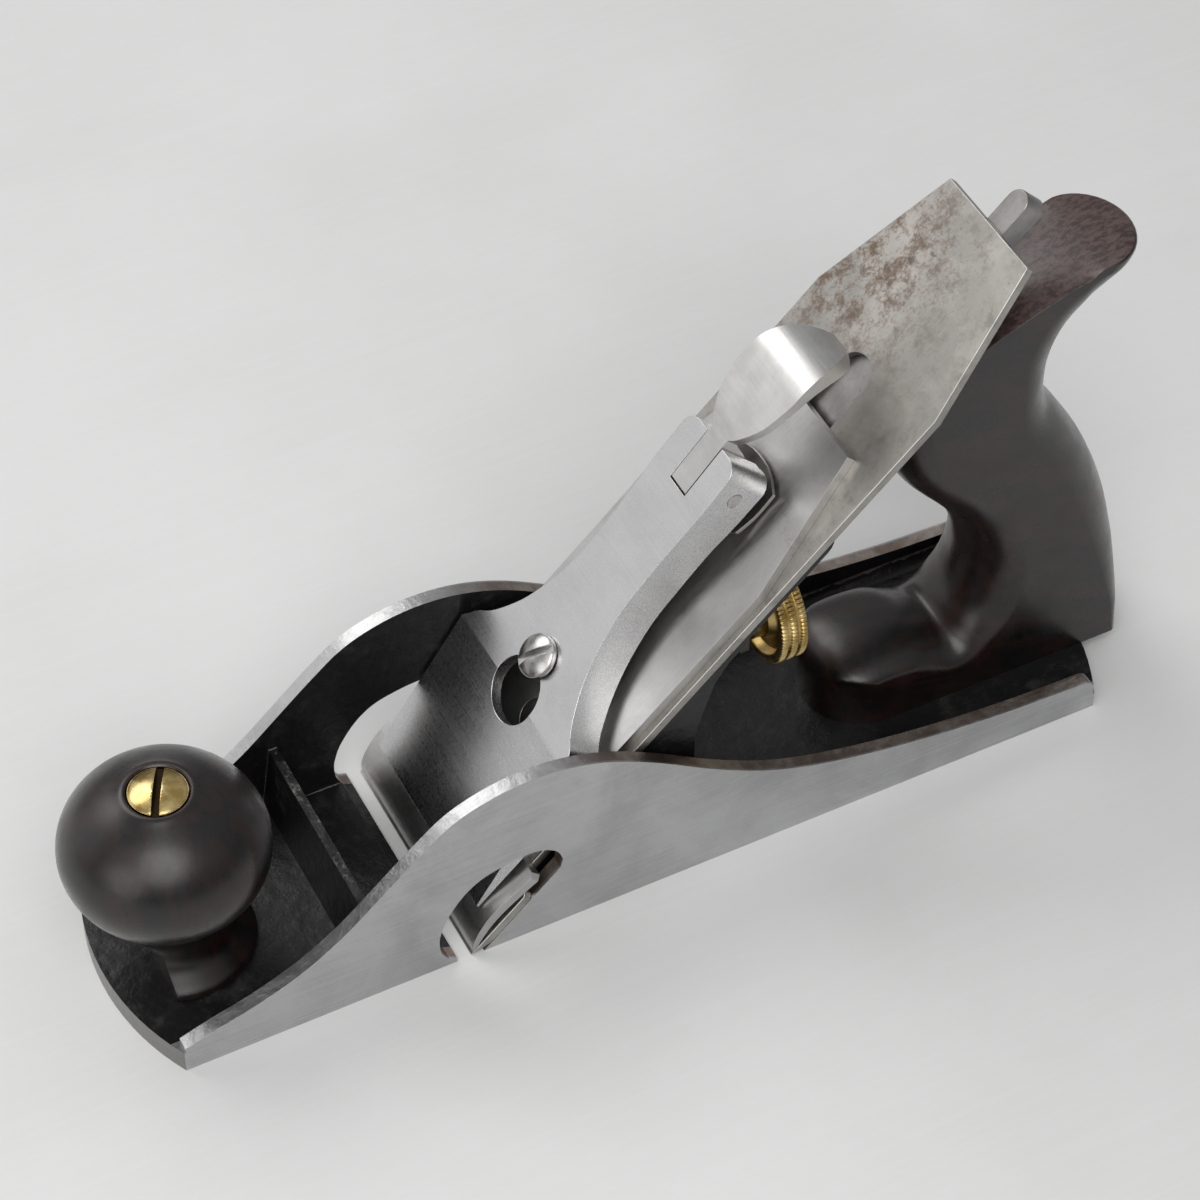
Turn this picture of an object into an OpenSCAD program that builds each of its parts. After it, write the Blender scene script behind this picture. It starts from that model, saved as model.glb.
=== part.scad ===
// Rabbet plane with its iron bedded on a frog, in millimetres.
// Origin: middle of the sole's length. +X points to the toe, +Y to the left cheek, +Z up.
// Parts on the bed are drawn in bed coordinates: local x runs up the slope from the
// cutting edge, local z stands square on the iron's upper face, which is the plane z = 0.

/* [Body] */
// Length over both rounded ends
body_len = 223.6; // [212:0.1:236]
// Width across the cheeks, and of the cutting edge
body_w = 54; // [51:0.1:58]
// Thickness of each cheek
wall = 3; // [2.4:0.1:3.4]
// How far each end bows out between its corners
end_bow = 6.9; // [4:0.1:9]
// From the cutting edge to the middle of the toe
toe_len = 69; // [67:0.1:73]
// Height of the cheeks over the mouth
cheek_h = 48.2; // [45:0.1:52]
// Thickness of the floor under the knob
toe_floor = 5.7; // [5:0.1:7]
// Thickness of the floor under the tote
heel_floor = 4; // [3.4:0.1:5]
// Thickness of the thin floor behind the rib
throat_floor = 2.8; // [2.2:0.1:3.6]
// Height of the seat that carries the frog
seat_h = 9; // [8:0.1:10]
// Height of the rib across the throat
rib_h = 21.5; // [18:0.1:24]
// Thickness of the rib at its top
rib_t = 1.9; // [1.4:0.1:3]
// From the cutting edge to the front of the rib's foot
rib_foot = 23; // [21:0.1:25]
// Gap of the mouth in front of the cutting edge
mouth = 3; // [2:0.1:3.6]

/* [Iron] */
// Length of the iron
iron_len = 178; // [172:0.5:186]
// Thickness of the iron
iron_t = 2.1; // [1.8:0.1:2.4]
// Width of the iron above its shoulders
iron_w = 45.4; // [42:0.1:46.4]
// Length of the full-width part of the iron
iron_blade = 18; // [14:0.1:20]
// Where the upper end of the iron starts to taper
iron_taper = 145; // [138:0.5:152]
// Width of the iron at its top end
iron_top_w = 28.7; // [24:0.1:34]
// Width of the slot in the iron
slot_w = 9.6; // [9:0.1:10.6]
// Upper end of the slot
slot_top = 142.4; // [138:0.1:148]

/* [Cap iron] */
// Length of the cap iron
cap_len = 127.7; // [122:0.1:134]
// Thickness of the cap iron
cap_t = 2.3; // [2:0.1:2.6]
// Width of the cap iron above its shoulders
cap_w = 42.6; // [39:0.1:45]
// Length of the full-width part of the cap iron
cap_blade = 22.8; // [20:0.1:25]
// Width of the cap iron at its top end
cap_top_w = 29.4; // [25:0.1:34]
// Height of the cap iron's hump over the iron
hump_h = 4; // [3.6:0.1:4.2]

/* [Lever cap] */
// Width of the lever cap between the cheeks
lever_w = 47; // [44:0.1:47.4]
// Width of the lever cap at its fork
fork_w = 18.6; // [16:0.1:20]
// Upper end of the fork
fork_top = 113.8; // [110:0.1:115]
// Bottom of the slot in the fork
fork_bottom = 101.6; // [98:0.1:101.8]
// Height of the lever cap's upper face over the iron at the keyhole
lever_h = 13.8; // [13:0.1:14.6]
// Thickness of the lever cap's plate
lever_plate = 3.2; // [2.6:0.1:3.8]
// Thickness of the lever cap's side walls
lever_wall = 2.6; // [2:0.1:3]
// How far the lever cap slides to bring its large hole over the screw head
keyhole_run = 9; // [8:0.1:10]

/* [Cam lever] */
// Thickness of the cam lever's stem
cam_w = 5.6; // [4.6:0.1:5.8]
// Width of the cam lever's thumb piece
thumb_w = 18.2; // [16:0.1:22]
// Height of the cam pin over the iron
cam_pin_h = 12.5; // [12:0.1:13]
// Diameter of the cam pin
cam_pin_d = 3.2; // [2.6:0.1:3.8]
// From the cam pin to the end of the stem
cam_r = 5.5; // [4.6:0.1:5.6]

/* [Frog] */
// Width of the frog
frog_w = 43.8; // [42:0.1:46]
// Upper end of the frog's bed
frog_top = 115; // [110:0.1:118]
// Thickness of the middle of the frog's bed plate
frog_plate = 5.5; // [5:0.1:6.5]
// Thickness of the bed plate along its sides
frog_rim = 2; // [1.6:0.1:3]
// Thickness of the frog's side webs
frog_web = 4; // [3:0.1:5]
// Thickness of the frog's foot
frog_foot = 4; // [3:0.1:5]
// Diameter of the lever cap screw
lever_screw_d = 6.4; // [5.6:0.1:7]
// Diameter of the frog screws
frog_screw_d = 6; // [5:0.1:6.6]

/* [Depth feed] */
// Height of the depth stud over the sole
stud_h = 39.7; // [38.5:0.1:41]
// Diameter of the depth stud
stud_d = 6; // [5:0.1:6.6]
// Diameter of the knurled wheel
wheel_d = 25.4; // [23:0.1:28]
// Thickness of the knurled wheel
wheel_t = 6.3; // [5:0.1:7.4]
// Diameter of the hub's flanges
hub_d = 12.4; // [11.8:0.1:13.4]

/* [Lateral lever] */
// Total length of the lateral lever
lateral_len = 97; // [92:0.5:102]
// Width of the lateral lever's strap
lateral_w = 11; // [10:0.1:12]
// Thickness of the lateral lever's strap
lateral_t = 2; // [1.6:0.1:2.4]
// Depth of the folded thumb end
skirt_h = 5.7; // [4:0.1:7]

/* [Knob and tote] */
// Diameter of the knob
knob_d = 42.4; // [38:0.1:45]
// Height of the knob over its seat
knob_h = 47.5; // [43:0.1:52]
// Diameter of the knob's foot
knob_foot_d = 32.6; // [30:0.1:36]
// From the knob's axis to the flat on the toe side of its foot
knob_flat = 5.9; // [4:0.1:9]
// From the cutting edge to the middle of the knob
knob_at = 52.5; // [52:0.1:53]
// Diameter of the brass nuts
nut_d = 11.9; // [10.6:0.1:13]
// Diameter of the threaded rods in the knob and the tote
rod_d = 5.6; // [4.8:0.1:6.4]
// Width of the tote at its foot
tote_w = 26.6; // [24:0.1:30]
// Lean of the tote's rod
tote_lean = 19; // [17:0.5:21]

/* [Hidden] */

// Clearances: sliding faces, screws in holes, running pins, and parts that only pass by
slide_fit = 0.05;
screw_fit = 0.05;
pin_fit = 0.04;
free_gap = 0.3;

pitch = 45;
toe_x = body_len/2;
heel_x = -body_len/2;
edge_x = toe_x - toe_len;
toe_corner = toe_x - end_bow;
heel_corner = heel_x + end_bow;
bow_r = (body_w*body_w/4 + end_bow*end_bow)/(2*end_bow);
inner_w = body_w - 2*wall;
bed_drop = iron_t + slide_fit;
// The edge is stored drawn back this far up the bed
edge_set = 0.15;
// Half the travel of the iron along the bed
feed_run = 1.3;

// Point in the XZ plane for s up the bed and n over it
function bp(s, n) = [edge_x - s*cos(pitch) + n*sin(pitch), s*sin(pitch) + n*cos(pitch)];
// Point of the bed plane at height z
function bed_at(z) = [edge_x - z*tan(pitch) - bed_drop/cos(pitch), z];

function blend4(a, b, c, d, t) = 0.5*(2*b + (c - a)*t + (2*a - 5*b + 4*c - d)*t*t
                                      + (3*b - a - 3*c + d)*t*t*t);
// Smooth curve through the points p with n steps between each pair
function smooth(p, n) = concat(
    [for (i = [0:len(p) - 2]) for (k = [0:n - 1])
        blend4(p[max(i - 1, 0)], p[i], p[i + 1], p[min(i + 2, len(p) - 1)], k/n)],
    [p[len(p) - 1]]);
function arc(x, y, r, a0, a1, n) = [for (i = [0:n])
    [x + r*cos(a0 + (a1 - a0)*i/n), y + r*sin(a0 + (a1 - a0)*i/n)]];
// Closes a half outline by its mirror image across y = 0
function mirrored(p) = concat(p, [for (i = [len(p) - 1:-1:0]) [p[i][0], -p[i][1]]]);

module bed() {
  translate([edge_x, 0, 0]) rotate([0, -pitch, 180]) children();
}

module bed_set() {
  bed() translate([edge_set, 0, 0]) children();
}

module across(w) {
  rotate([90, 0, 0]) linear_extrude(height = w, center = true) children();
}

module round_slot(x0, x1, r, z0, z1) {
  for (x = [x0, x1]) translate([x, 0, z0]) cylinder(r = r, h = z1 - z0, $fn = 48);
  translate([x0, -r, z0]) cube([x1 - x0, 2*r, z1 - z0]);
}

module slotted_dome(d, h, dome, slot, depth) {
  ball_r = (d*d/4 + dome*dome)/(2*dome);
  difference() {
    union() {
      cylinder(d = d, h = h, $fn = 64);
      intersection() {
        translate([0, 0, h + dome - ball_r]) sphere(r = ball_r, $fn = 96);
        translate([0, 0, h/2]) cylinder(d = d - 0.3, h = h/2 + 2*dome, $fn = 64);
      }
    }
    translate([-d, -slot/2, h + dome - depth]) cube([2*d, slot, depth + 1]);
  }
}

// body

// Cheek outline from toe to heel, drawn about the edge and stretched with the body
drawn_toe = 62.1;
drawn_heel = 147.7;
drawn_cheek = 48.2;
function cheek_pt(x, z) = [edge_x + x*(x > 0 ? (toe_corner - edge_x)/drawn_toe
                                             : (edge_x - heel_corner)/drawn_heel),
                           z > 15 ? 15 + (z - 15)*(cheek_h - 15)/(drawn_cheek - 15) : z];
cheek_top = smooth([for (p = [[61.8, 6.9], [55, 9.3], [46, 12], [36, 16.4], [27, 22.6],
    [19, 29.9], [11, 37.4], [3, 43.9], [-6, 47.3], [-15, 48.2], [-24, 46.9], [-33, 43.5],
    [-43, 37.6], [-56, 28.6], [-70, 20.9], [-86, 15.7], [-105, 12], [-125, 9.7],
    [-142, 8.9]]) cheek_pt(p[0], p[1])], 4);
cheek_end_r = 3;
heel_wall_h = 8.9;
// The cheeks' heel ends stop this far inside the corners of the bowed end
corner_ease = 0.4;
bow_steps = 160;

opening_pts = concat([[mouth, -1], [mouth, 1.2]],
    smooth([[4.7, 1.9], [6.3, 4.6], [6.7, 8.6], [6, 12], [4.8, 15], [2.3, 18.9],
            [-0.5, 21.8], [-4.1, 23.9], [-10.4, 25.3], [-14.7, 25.4], [-17.8, 24.3],
            [-19.9, 22.4], [-20.9, 19.8]], 3));

// Where the frog's seat ends towards the heel
seat_back = edge_x - 56;
frog_screw_x = edge_x - 45;
frog_screw_y = 10;
frog_screw_depth = 6.5;
tote_rod_x = heel_corner - 0.4;
tote_boss_h = 5;
tote_boss_r = 6;
fillet_r = 3;

module footprint(h) {
  intersection() {
    translate([heel_x, -body_w/2, 0]) cube([body_len, body_w, h]);
    union() {
      translate([toe_x - bow_r, 0, 0]) cylinder(r = bow_r, h = h, $fn = bow_steps);
      translate([heel_x, -body_w/2, 0]) cube([body_len - bow_r, body_w, h]);
    }
    union() {
      translate([heel_x + bow_r, 0, 0]) cylinder(r = bow_r, h = h, $fn = bow_steps);
      translate([heel_x + bow_r, -body_w/2, 0]) cube([body_len - bow_r, body_w, h]);
    }
  }
}

module cheek_profile() {
  heel_end = heel_corner + corner_ease;
  polygon(concat([[toe_x + 1, 0], [toe_x + 1, toe_floor], [cheek_top[0][0], toe_floor]],
      cheek_top,
      arc(heel_end + cheek_end_r, heel_wall_h - cheek_end_r, cheek_end_r, 90, 180, 6),
      [[heel_end, heel_floor], [heel_x - 1, heel_floor], [heel_x - 1, 0]]));
}

module channel_profile() {
  rib_back = edge_x + rib_foot - 2.2 - rib_t;
  polygon([[toe_x + 2, toe_floor], [edge_x + rib_foot, toe_floor],
      [edge_x + rib_foot - 2.2, rib_h], [rib_back, rib_h], [rib_back - 1.4, throat_floor],
      [edge_x + mouth + 2, throat_floor], [edge_x + mouth, throat_floor - 1.6],
      [edge_x + mouth, -1], bed_at(-1), bed_at(seat_h), [seat_back, seat_h],
      [seat_back, heel_floor], [heel_x - 2, heel_floor], [heel_x - 2, cheek_h + 20],
      [toe_x + 2, cheek_h + 20]]);
}

module body() {
  color([0.42, 0.43, 0.43]) difference() {
    union() {
      difference() {
        intersection() {
          footprint(cheek_h + 5);
          across(body_w + 2) cheek_profile();
        }
        across(inner_w) channel_profile();
      }
      for (side = [-1, 1]) difference() {
        translate([heel_corner + 2, side*(inner_w/2 - fillet_r/2) - fillet_r/2, heel_floor])
          cube([seat_back - heel_corner - 2, fillet_r, fillet_r]);
        translate([heel_corner, side*(inner_w/2 - fillet_r), heel_floor + fillet_r])
          rotate([0, 90, 0]) cylinder(r = fillet_r, h = body_len/2, $fn = 48);
      }
      translate([tote_rod_x, 0, heel_floor - 1])
        cylinder(r = tote_boss_r, h = tote_boss_h + 1, $fn = 48);
    }
    across(body_w + 4) polygon(concat([for (p = opening_pts) [edge_x + p[0], p[1]]],
        [bed_at(17.3), bed_at(-1)]));
    for (y = [-frog_screw_y, frog_screw_y])
      translate([frog_screw_x, y, seat_h - frog_screw_depth - 0.5])
        cylinder(d = frog_screw_d + 2*screw_fit, h = frog_screw_depth + 1, $fn = 48);
    translate([edge_x + knob_at, 0, 1.2])
      cylinder(d = rod_d + 2*screw_fit, h = toe_floor, $fn = 48);
    tote_rod_place() cylinder(d = rod_d + 2*screw_fit, h = 20, $fn = 48);
  }
}

// frog and its screws

module frog_profile_rear() {
  polygon([[bed_at(seat_h)[0] - 2, seat_h], bp(87, -bed_drop - 1.4), bp(85.4, -5),
      [edge_x - 60.1, 53.1],
      [edge_x - 57.4, 48.8], [edge_x - 55.4, 42.6], [edge_x - 53.8, 37.3],
      [edge_x - 53.3, 34.4], [edge_x - 53.2, seat_h]]);
}

// The side webs stand this far inside the bed plate's edges
web_inset = 0.3;
boss_back = edge_x - 58.5;
boss_d = stud_d + 7;
yoke_pivot = bp(80, -9.2);
yoke_pin_d = 3;
yoke_w = 5;
lug_w = 3.5;
screw_at = 55.5;
cap_screw_at = 42;
cap_screw_head_d = 15;
cap_screw_head_h = 3.4;
lateral_at = 103.5;
disc_at = 95;
lateral_rivet_d = 6;

module frog() {
  ear_r = 4;
  recess_n = -bed_drop - slide_fit - lateral_t - slide_fit;
  // Half width of the thick middle of the bed plate, and where it starts
  mid = 13;
  foot_s = 5;
  color([0.13, 0.13, 0.14]) difference() {
    union() {
      intersection() {
        bed() union() {
          translate([0, 0, -bed_drop - frog_rim]) linear_extrude(frog_rim)
            polygon(concat([[foot_s, -frog_w/2], [foot_s, frog_w/2]],
                arc(frog_top - ear_r, frog_w/2 - ear_r, ear_r, 90, 0, 6),
                arc(frog_top - ear_r, ear_r - frog_w/2, ear_r, 0, -90, 6)));
          translate([foot_s, -mid, -bed_drop - frog_plate])
            cube([frog_top - foot_s - 0.5, 2*mid, frog_plate - 0.5]);
        }
        translate([heel_x, -body_w/2, seat_h]) cube([body_len, body_w, 120]);
      }
      for (side = [-1, 1]) translate([0, side*((frog_w - frog_web)/2 - web_inset), 0])
        across(frog_web) frog_profile_rear();
      translate([seat_back + 1, -frog_w/2 + 1, seat_h])
        cube([bed_at(seat_h)[0] - seat_back - 8, frog_w - 2, frog_foot]);
      across(6) polygon([bp(34, -bed_drop - 2), bp(68, -bed_drop - 2), [boss_back, stud_h],
          [boss_back + 2, stud_h - boss_d/2], [seat_back + 1, seat_h + 1],
          [edge_x - 24, seat_h + 1]]);
      intersection() {
        translate([boss_back, 0, stud_h]) rotate([0, 90, 0])
          cylinder(d = boss_d, h = 20, $fn = 64);
        bed() translate([0, -20, -60]) cube([120, 40, 60 - bed_drop - 1]);
      }
      bed() translate([screw_at, 0, -15]) cylinder(d = 14, h = 15 - bed_drop - 1, $fn = 64);
      for (side = [-1, 1]) translate([0, side*(yoke_w + 2*free_gap + lug_w)/2, 0])
        across(lug_w) polygon([bp(76, -bed_drop - 1), bp(84.5, -bed_drop - 1),
            bp(84, -10), bp(82.6, -11.9), bp(80, -12.8), bp(77.4, -11.9), bp(76, -10)]);
    }
    // Recess for the head of the cap iron screw, and window for the yoke
    bed() round_slot(cap_screw_at - feed_run - 0.5, cap_screw_at + feed_run + 0.7,
                     cap_screw_head_d/2 + free_gap, -bed_drop - slide_fit - cap_screw_head_h
                     - 0.3, 1);
    bed() translate([74, -yoke_w/2 - free_gap, -30]) cube([14, yoke_w + 2*free_gap, 31]);
    // Recess for the strap of the lateral lever
    bed() translate([88, -lateral_w/2 - 1.6, recess_n])
      cube([40, lateral_w + 3.2, 10]);
    bed() translate([screw_at, 0, -14])
      cylinder(d = lever_screw_d + 2*screw_fit, h = 20, $fn = 48);
    bed() translate([lateral_at, 0, -20])
      cylinder(d = lateral_rivet_d, h = 30, $fn = 48);
    translate([boss_back - 1, 0, stud_h]) rotate([0, 90, 0])
      cylinder(d = stud_d + 2*screw_fit, h = 8, $fn = 48);
    translate([yoke_pivot[0], 0, yoke_pivot[1]]) rotate([90, 0, 0])
      cylinder(d = yoke_pin_d + 2*pin_fit, h = 30, center = true, $fn = 48);
    for (y = [-frog_screw_y, frog_screw_y]) translate([frog_screw_x, y, seat_h - 1])
      cylinder(d = frog_screw_d + 0.8, h = frog_foot + 2, $fn = 48);
  }
}

washer_t = 1.2;
washer_d = 13;

module frog_washers() {
  color([0.45, 0.45, 0.43]) for (y = [-frog_screw_y, frog_screw_y])
    translate([frog_screw_x, y, seat_h + frog_foot]) difference() {
      cylinder(d = washer_d, h = washer_t, $fn = 64);
      translate([0, 0, -1]) cylinder(d = frog_screw_d + 0.4, h = 4, $fn = 48);
    }
}

module frog_screws() {
  head_h = 3.6;
  color([0.45, 0.45, 0.43]) for (y = [-frog_screw_y, frog_screw_y])
    translate([frog_screw_x, y, seat_h]) {
      translate([0, 0, -frog_screw_depth])
        cylinder(d = frog_screw_d, h = frog_screw_depth + frog_foot + washer_t, $fn = 48);
      translate([0, 0, frog_foot + washer_t])
        slotted_dome(frog_screw_d + 4.6, head_h, 0.9, 1.4, 2);
    }
}

// knob

module knob_place() {
  translate([edge_x + knob_at, 0, toe_floor]) children();
}

knob_nut_sink = 2.6;
nut_barrel_d = 8.6;
nut_barrel_len = 14;

module knob() {
  ball_z = knob_h - 17.4;
  ball_h = 17;
  foot_r = knob_foot_d/2;
  color([0.24, 0.09, 0.05]) knob_place() difference() {
    rotate_extrude($fn = 120) polygon(concat([[0, 0], [foot_r - 0.4, 0]],
        smooth([[foot_r, 0.6], [foot_r, 1.6], [foot_r - 1.6, 3.4], [foot_r - 4, 6.2],
                [foot_r - 5.3, 9.4], [foot_r - 5.2, 11.6],
                [knob_d/2*cos(-52), ball_z + ball_h*sin(-52) - 0.4]], 4),
        [for (a = [-44:8:68]) [knob_d/2*cos(a), ball_z + ball_h*sin(a)]],
        [[nut_d/2 + 1.1, knob_h - 0.5], [0, knob_h - 0.5]]));
    rotate([90, 0, 0]) linear_extrude(2*foot_r + 4, center = true)
      polygon([[knob_flat, -1], [knob_d, -1], [knob_d, 14], [knob_flat + 6, 14],
               [knob_flat, 8.5]]);
    translate([0, 0, -1]) cylinder(d = rod_d + 0.6, h = knob_h + 5, $fn = 48);
    translate([0, 0, knob_h - knob_nut_sink - nut_barrel_len])
      cylinder(d = nut_barrel_d + 0.6, h = 40, $fn = 48);
    translate([0, 0, knob_h - knob_nut_sink])
      cylinder(d = nut_d + 0.6, h = 10, $fn = 48);
  }
}

module knob_stud() {
  color([0.5, 0.5, 0.48]) translate([edge_x + knob_at, 0, 1.7])
    cylinder(d = rod_d, h = toe_floor - 1.7 + knob_h - knob_nut_sink - 3, $fn = 48);
}

module brass_nut() {
  color([0.72, 0.55, 0.25]) difference() {
    union() {
      translate([0, 0, -nut_barrel_len + 0.3])
        cylinder(d = nut_barrel_d, h = nut_barrel_len, $fn = 48);
      slotted_dome(nut_d, 1.4, 1.5, 1.6, 1.9);
    }
    translate([0, 0, -nut_barrel_len - 1])
      cylinder(d = rod_d + 2*screw_fit, h = nut_barrel_len - 1, $fn = 48);
  }
}

module knob_nut() {
  knob_place() translate([0, 0, knob_h - knob_nut_sink]) rotate([0, 0, 62]) brass_nut();
}

// tote

tote_half = tote_w/2;
tote_narrowing = 0.0195;
// Side outline: forward of the heel corner, up from the floor, and edge rounding
tote_pts = [[56.2, 0, 3.5], [56.4, 6, 4], [55.2, 11.5, 4], [51.4, 15.5, 4.5],
    [43.6, 17, 5], [35.6, 16.5, 5.5], [29.6, 14.2, 6.5], [26.2, 13.4, 7], [23.9, 16.4, 7.5],
    [21.7, 20.6, 8.5], [20.6, 26.3, 9.5], [20.4, 31.4, 9.5], [21.4, 35.9, 9.5],
    [23.5, 41.4, 9.5], [26.3, 46.3, 9], [29.8, 50.9, 9], [33.7, 55.5, 8.5], [37.6, 60.5, 8],
    [41.1, 67, 7.5], [43.3, 75, 7], [43.8, 82, 6.5], [42.4, 87.7, 5], [38, 92.6, 3.5],
    [32.4, 97.2, 2], [26.2, 100.9, 0.9], [16.1, 105.1, 0.8], [7.7, 108, 0.8],
    [0.7, 109.9, 0.8], [-5.3, 110.9, 0.8], [-9.5, 111.2, 0.8], [-11.4, 110.2, 1],
    [-10.9, 107.9, 2.4], [-8.7, 105, 4.7], [-4.8, 102, 7.2], [0.2, 98.6, 9.2],
    [4.2, 94.2, 10], [6.6, 88.4, 10], [7.4, 82, 9], [6.6, 75, 9], [1.6, 67, 9.5], [-4.9, 56, 9.5], [-10.4, 43, 9.5], [-13.9, 30, 8.5],
    [-15.7, 19, 7], [-16.5, 9, 5], [-16.2, 0, 3.5]];
tote_line = smooth(tote_pts, 2);
tote_n = len(tote_line);
function unit(v) = v/norm(v);
// Inward normal of the side outline at point i
function tote_in(i) = let (a = tote_line[max(i - 1, 0)], b = tote_line[min(i + 1, tote_n - 1)],
    t = unit([b[0] - a[0], b[1] - a[1]])) [-t[1], t[0]];
// How far the round ends reach forward and back at y
function tote_front(y) = tote_pts[1][0] - tote_half + sqrt(max(tote_half*tote_half - y*y, 0));
function tote_back(y) = 3.5 - 16.5 - 3.5*sqrt(max(1 - y*y/tote_half/tote_half, 0));
// The horn's flat top ends in a round tongue, drawn in towards the sides
horn_from = 4;
horn_side = -1.9;
horn_round = 9.5;
function horn_end(a) = horn_side - horn_round*cos(a) - horn_from;
function horn_x(x, a) = x > horn_from ? x : horn_from + (x - horn_from)*horn_end(a)/horn_end(0);
// Point i of the ring that stands at angle a from the middle plane
function tote_pt(i, a) = let (p = tote_line[i], q = tote_in(i), d = p[2]*(1 - cos(a)),
    z = p[1] < 0.01 ? 0 : max(p[1] + d*q[1], 0), y = sin(a)*(tote_half - tote_narrowing*z),
    x = p[0] + d*q[0], drawn = p[1] > 80 ? horn_x(x, a) : x)
    [min(max(drawn, tote_back(y)), tote_front(y)), y, z];
tote_angles = [-90, -72, -52, -28, 0, 28, 52, 72, 90];
// The flat side is a fan over the toe from the valley in front of the grip, and above it
// a strip between the front and the back of the grip up to the tip of the horn
valley_i = 14;
horn_i = 60;
function tote_flip(t, flip) = flip ? [t[1], t[0], t[2]] : t;
function tote_pair(k) = round(k*(tote_n - 1 - horn_i)/(horn_i - valley_i));
function tote_side(at, flip) = concat(
    [for (i = [0:valley_i - 2]) tote_flip([at + valley_i, at + i + 1, at + i], flip)],
    [tote_flip([at + valley_i, at, at + tote_n - 1], flip)],
    [for (k = [0:horn_i - valley_i - 1]) let (f = at + valley_i + k,
        b = at + tote_n - 1 - tote_pair(k), c = at + tote_n - 1 - tote_pair(k + 1))
      each concat(b == f + 1 ? [] : [tote_flip([f, b, f + 1], flip)],
                  c == b || c == f + 1 ? [] : [tote_flip([f + 1, b, c], flip)])]);

module tote_blank() {
  rings = len(tote_angles);
  points = [for (a = tote_angles) for (i = [0:tote_n - 1]) tote_pt(i, a)];
  sides = [for (r = [0:rings - 2]) for (i = [0:tote_n - 1]) let (j = (i + 1)%tote_n)
      each [[r*tote_n + j, r*tote_n + i, (r + 1)*tote_n + j],
            [(r + 1)*tote_n + j, r*tote_n + i, (r + 1)*tote_n + i]]];
  polyhedron(points, concat(sides, tote_side(0, true), tote_side((rings - 1)*tote_n, false)),
             convexity = 8);
}

module tote_place() {
  translate([heel_corner, 0, heel_floor]) children();
}

module tote_rod_place() {
  translate([tote_rod_x, 0, 1.4]) rotate([0, tote_lean, 0]) children();
}

// Where the nut's flange rests, along the rod
tote_nut_at = 100.5;

module tote() {
  color([0.24, 0.09, 0.05]) difference() {
    tote_place() tote_blank();
    tote_rod_place() {
      translate([0, 0, -6]) cylinder(d = rod_d + 0.8, h = 130, $fn = 48);
      translate([0, 0, tote_nut_at - nut_barrel_len])
        cylinder(d = nut_barrel_d + 0.6, h = 60, $fn = 48);
      translate([0, 0, tote_nut_at]) cylinder(d = nut_d + 0.8, h = 40, $fn = 48);
    }
    translate([tote_rod_x, 0, -1])
      cylinder(r = tote_boss_r + 0.4, h = heel_floor + tote_boss_h + 1.5, $fn = 48);
  }
}

module tote_stud() {
  color([0.5, 0.5, 0.48]) tote_rod_place() translate([0, 0, 1])
    cylinder(d = rod_d, h = tote_nut_at - 4, $fn = 48);
}

module tote_nut() {
  tote_rod_place() translate([0, 0, tote_nut_at]) brass_nut();
}

// iron and cap iron

module iron() {
  bevel = iron_t/tan(25);
  color([0.47, 0.43, 0.38]) bed_set() difference() {
    translate([0, 0, -iron_t]) linear_extrude(iron_t)
      polygon(mirrored([[0, body_w/2], [iron_blade - 1, body_w/2], [iron_blade, body_w/2 - 1],
          [iron_blade, iron_w/2], [iron_taper, iron_w/2], [iron_len, iron_top_w/2]]));
    across(body_w + 4) polygon([[0, 0], [1.5*bevel, -1.5*iron_t], [-1, -1.5*iron_t], [-1, 0]]);
    round_slot(27, slot_top - slot_w/2, slot_w/2, -iron_t - 1, 1);
    translate([27, 0, -iron_t - 1]) cylinder(r = cap_screw_head_d/2 + 1, h = 10, $fn = 64);
  }
}

module cap_iron() {
  front = 0.8;
  color([0.55, 0.54, 0.5]) bed_set() difference() {
    intersection() {
      across(body_w) polygon(concat([[cap_len, 0], [cap_len, cap_t], [28, cap_t]],
          smooth([[24, cap_t + 0.15], [17.8, hump_h - 0.8], [11.1, hump_h],
                  [6.1, hump_h - 0.8], [2.5, 1.7], [front, 0.15]], 4),
          [[front, 0]], smooth([[front + 1.2, 0], [4.5, 0.9], [10, hump_h - cap_t],
                                [16.5, 1.15], [23, 0]], 4)));
      translate([0, 0, -1]) linear_extrude(20)
        polygon(mirrored([[0, body_w/2], [cap_blade - 1, body_w/2], [cap_blade, body_w/2 - 1],
            [cap_blade, cap_w/2], [96, cap_w/2], [cap_len, cap_top_w/2]]));
    }
    translate([cap_screw_at - edge_set, 0, -1])
      cylinder(d = cap_screw_d + 2*screw_fit, h = 10, $fn = 48);
    round_slot(screw_at - 2.4, screw_at + 2.4, lever_screw_d/2 + 1.4, -1, 5);
    translate([77.9, -yoke_w/2 - 1.2, -1]) cube([4.2, yoke_w + 2.4, 5]);
  }
}

cap_screw_d = 7.9;

module cap_iron_screw() {
  color([0.42, 0.4, 0.37]) bed() translate([cap_screw_at, 0, 0]) difference() {
    union() {
      translate([0, 0, -iron_t - slide_fit - cap_screw_head_h])
        cylinder(d = cap_screw_head_d, h = cap_screw_head_h, $fn = 64);
      translate([0, 0, -iron_t - slide_fit])
        cylinder(d = cap_screw_d, h = iron_t + slide_fit + cap_t - 0.1, $fn = 48);
    }
    translate([-10, -0.8, -iron_t - slide_fit - cap_screw_head_h - 1]) cube([20, 1.6, 2.4]);
  }
}

// lever cap

// Height of the lever cap's upper face at s
function cap_up(s) = lever_h + 0.08*(s - screw_at);
function cap_under(s) = cap_up(s) - lever_plate;
tip_at = 9.6;
crease_at = 44.5;
rest_n = 4.4;
large_hole_r = 7;

// Corner radius of the fork's ends
fork_r = 3.4;
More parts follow.
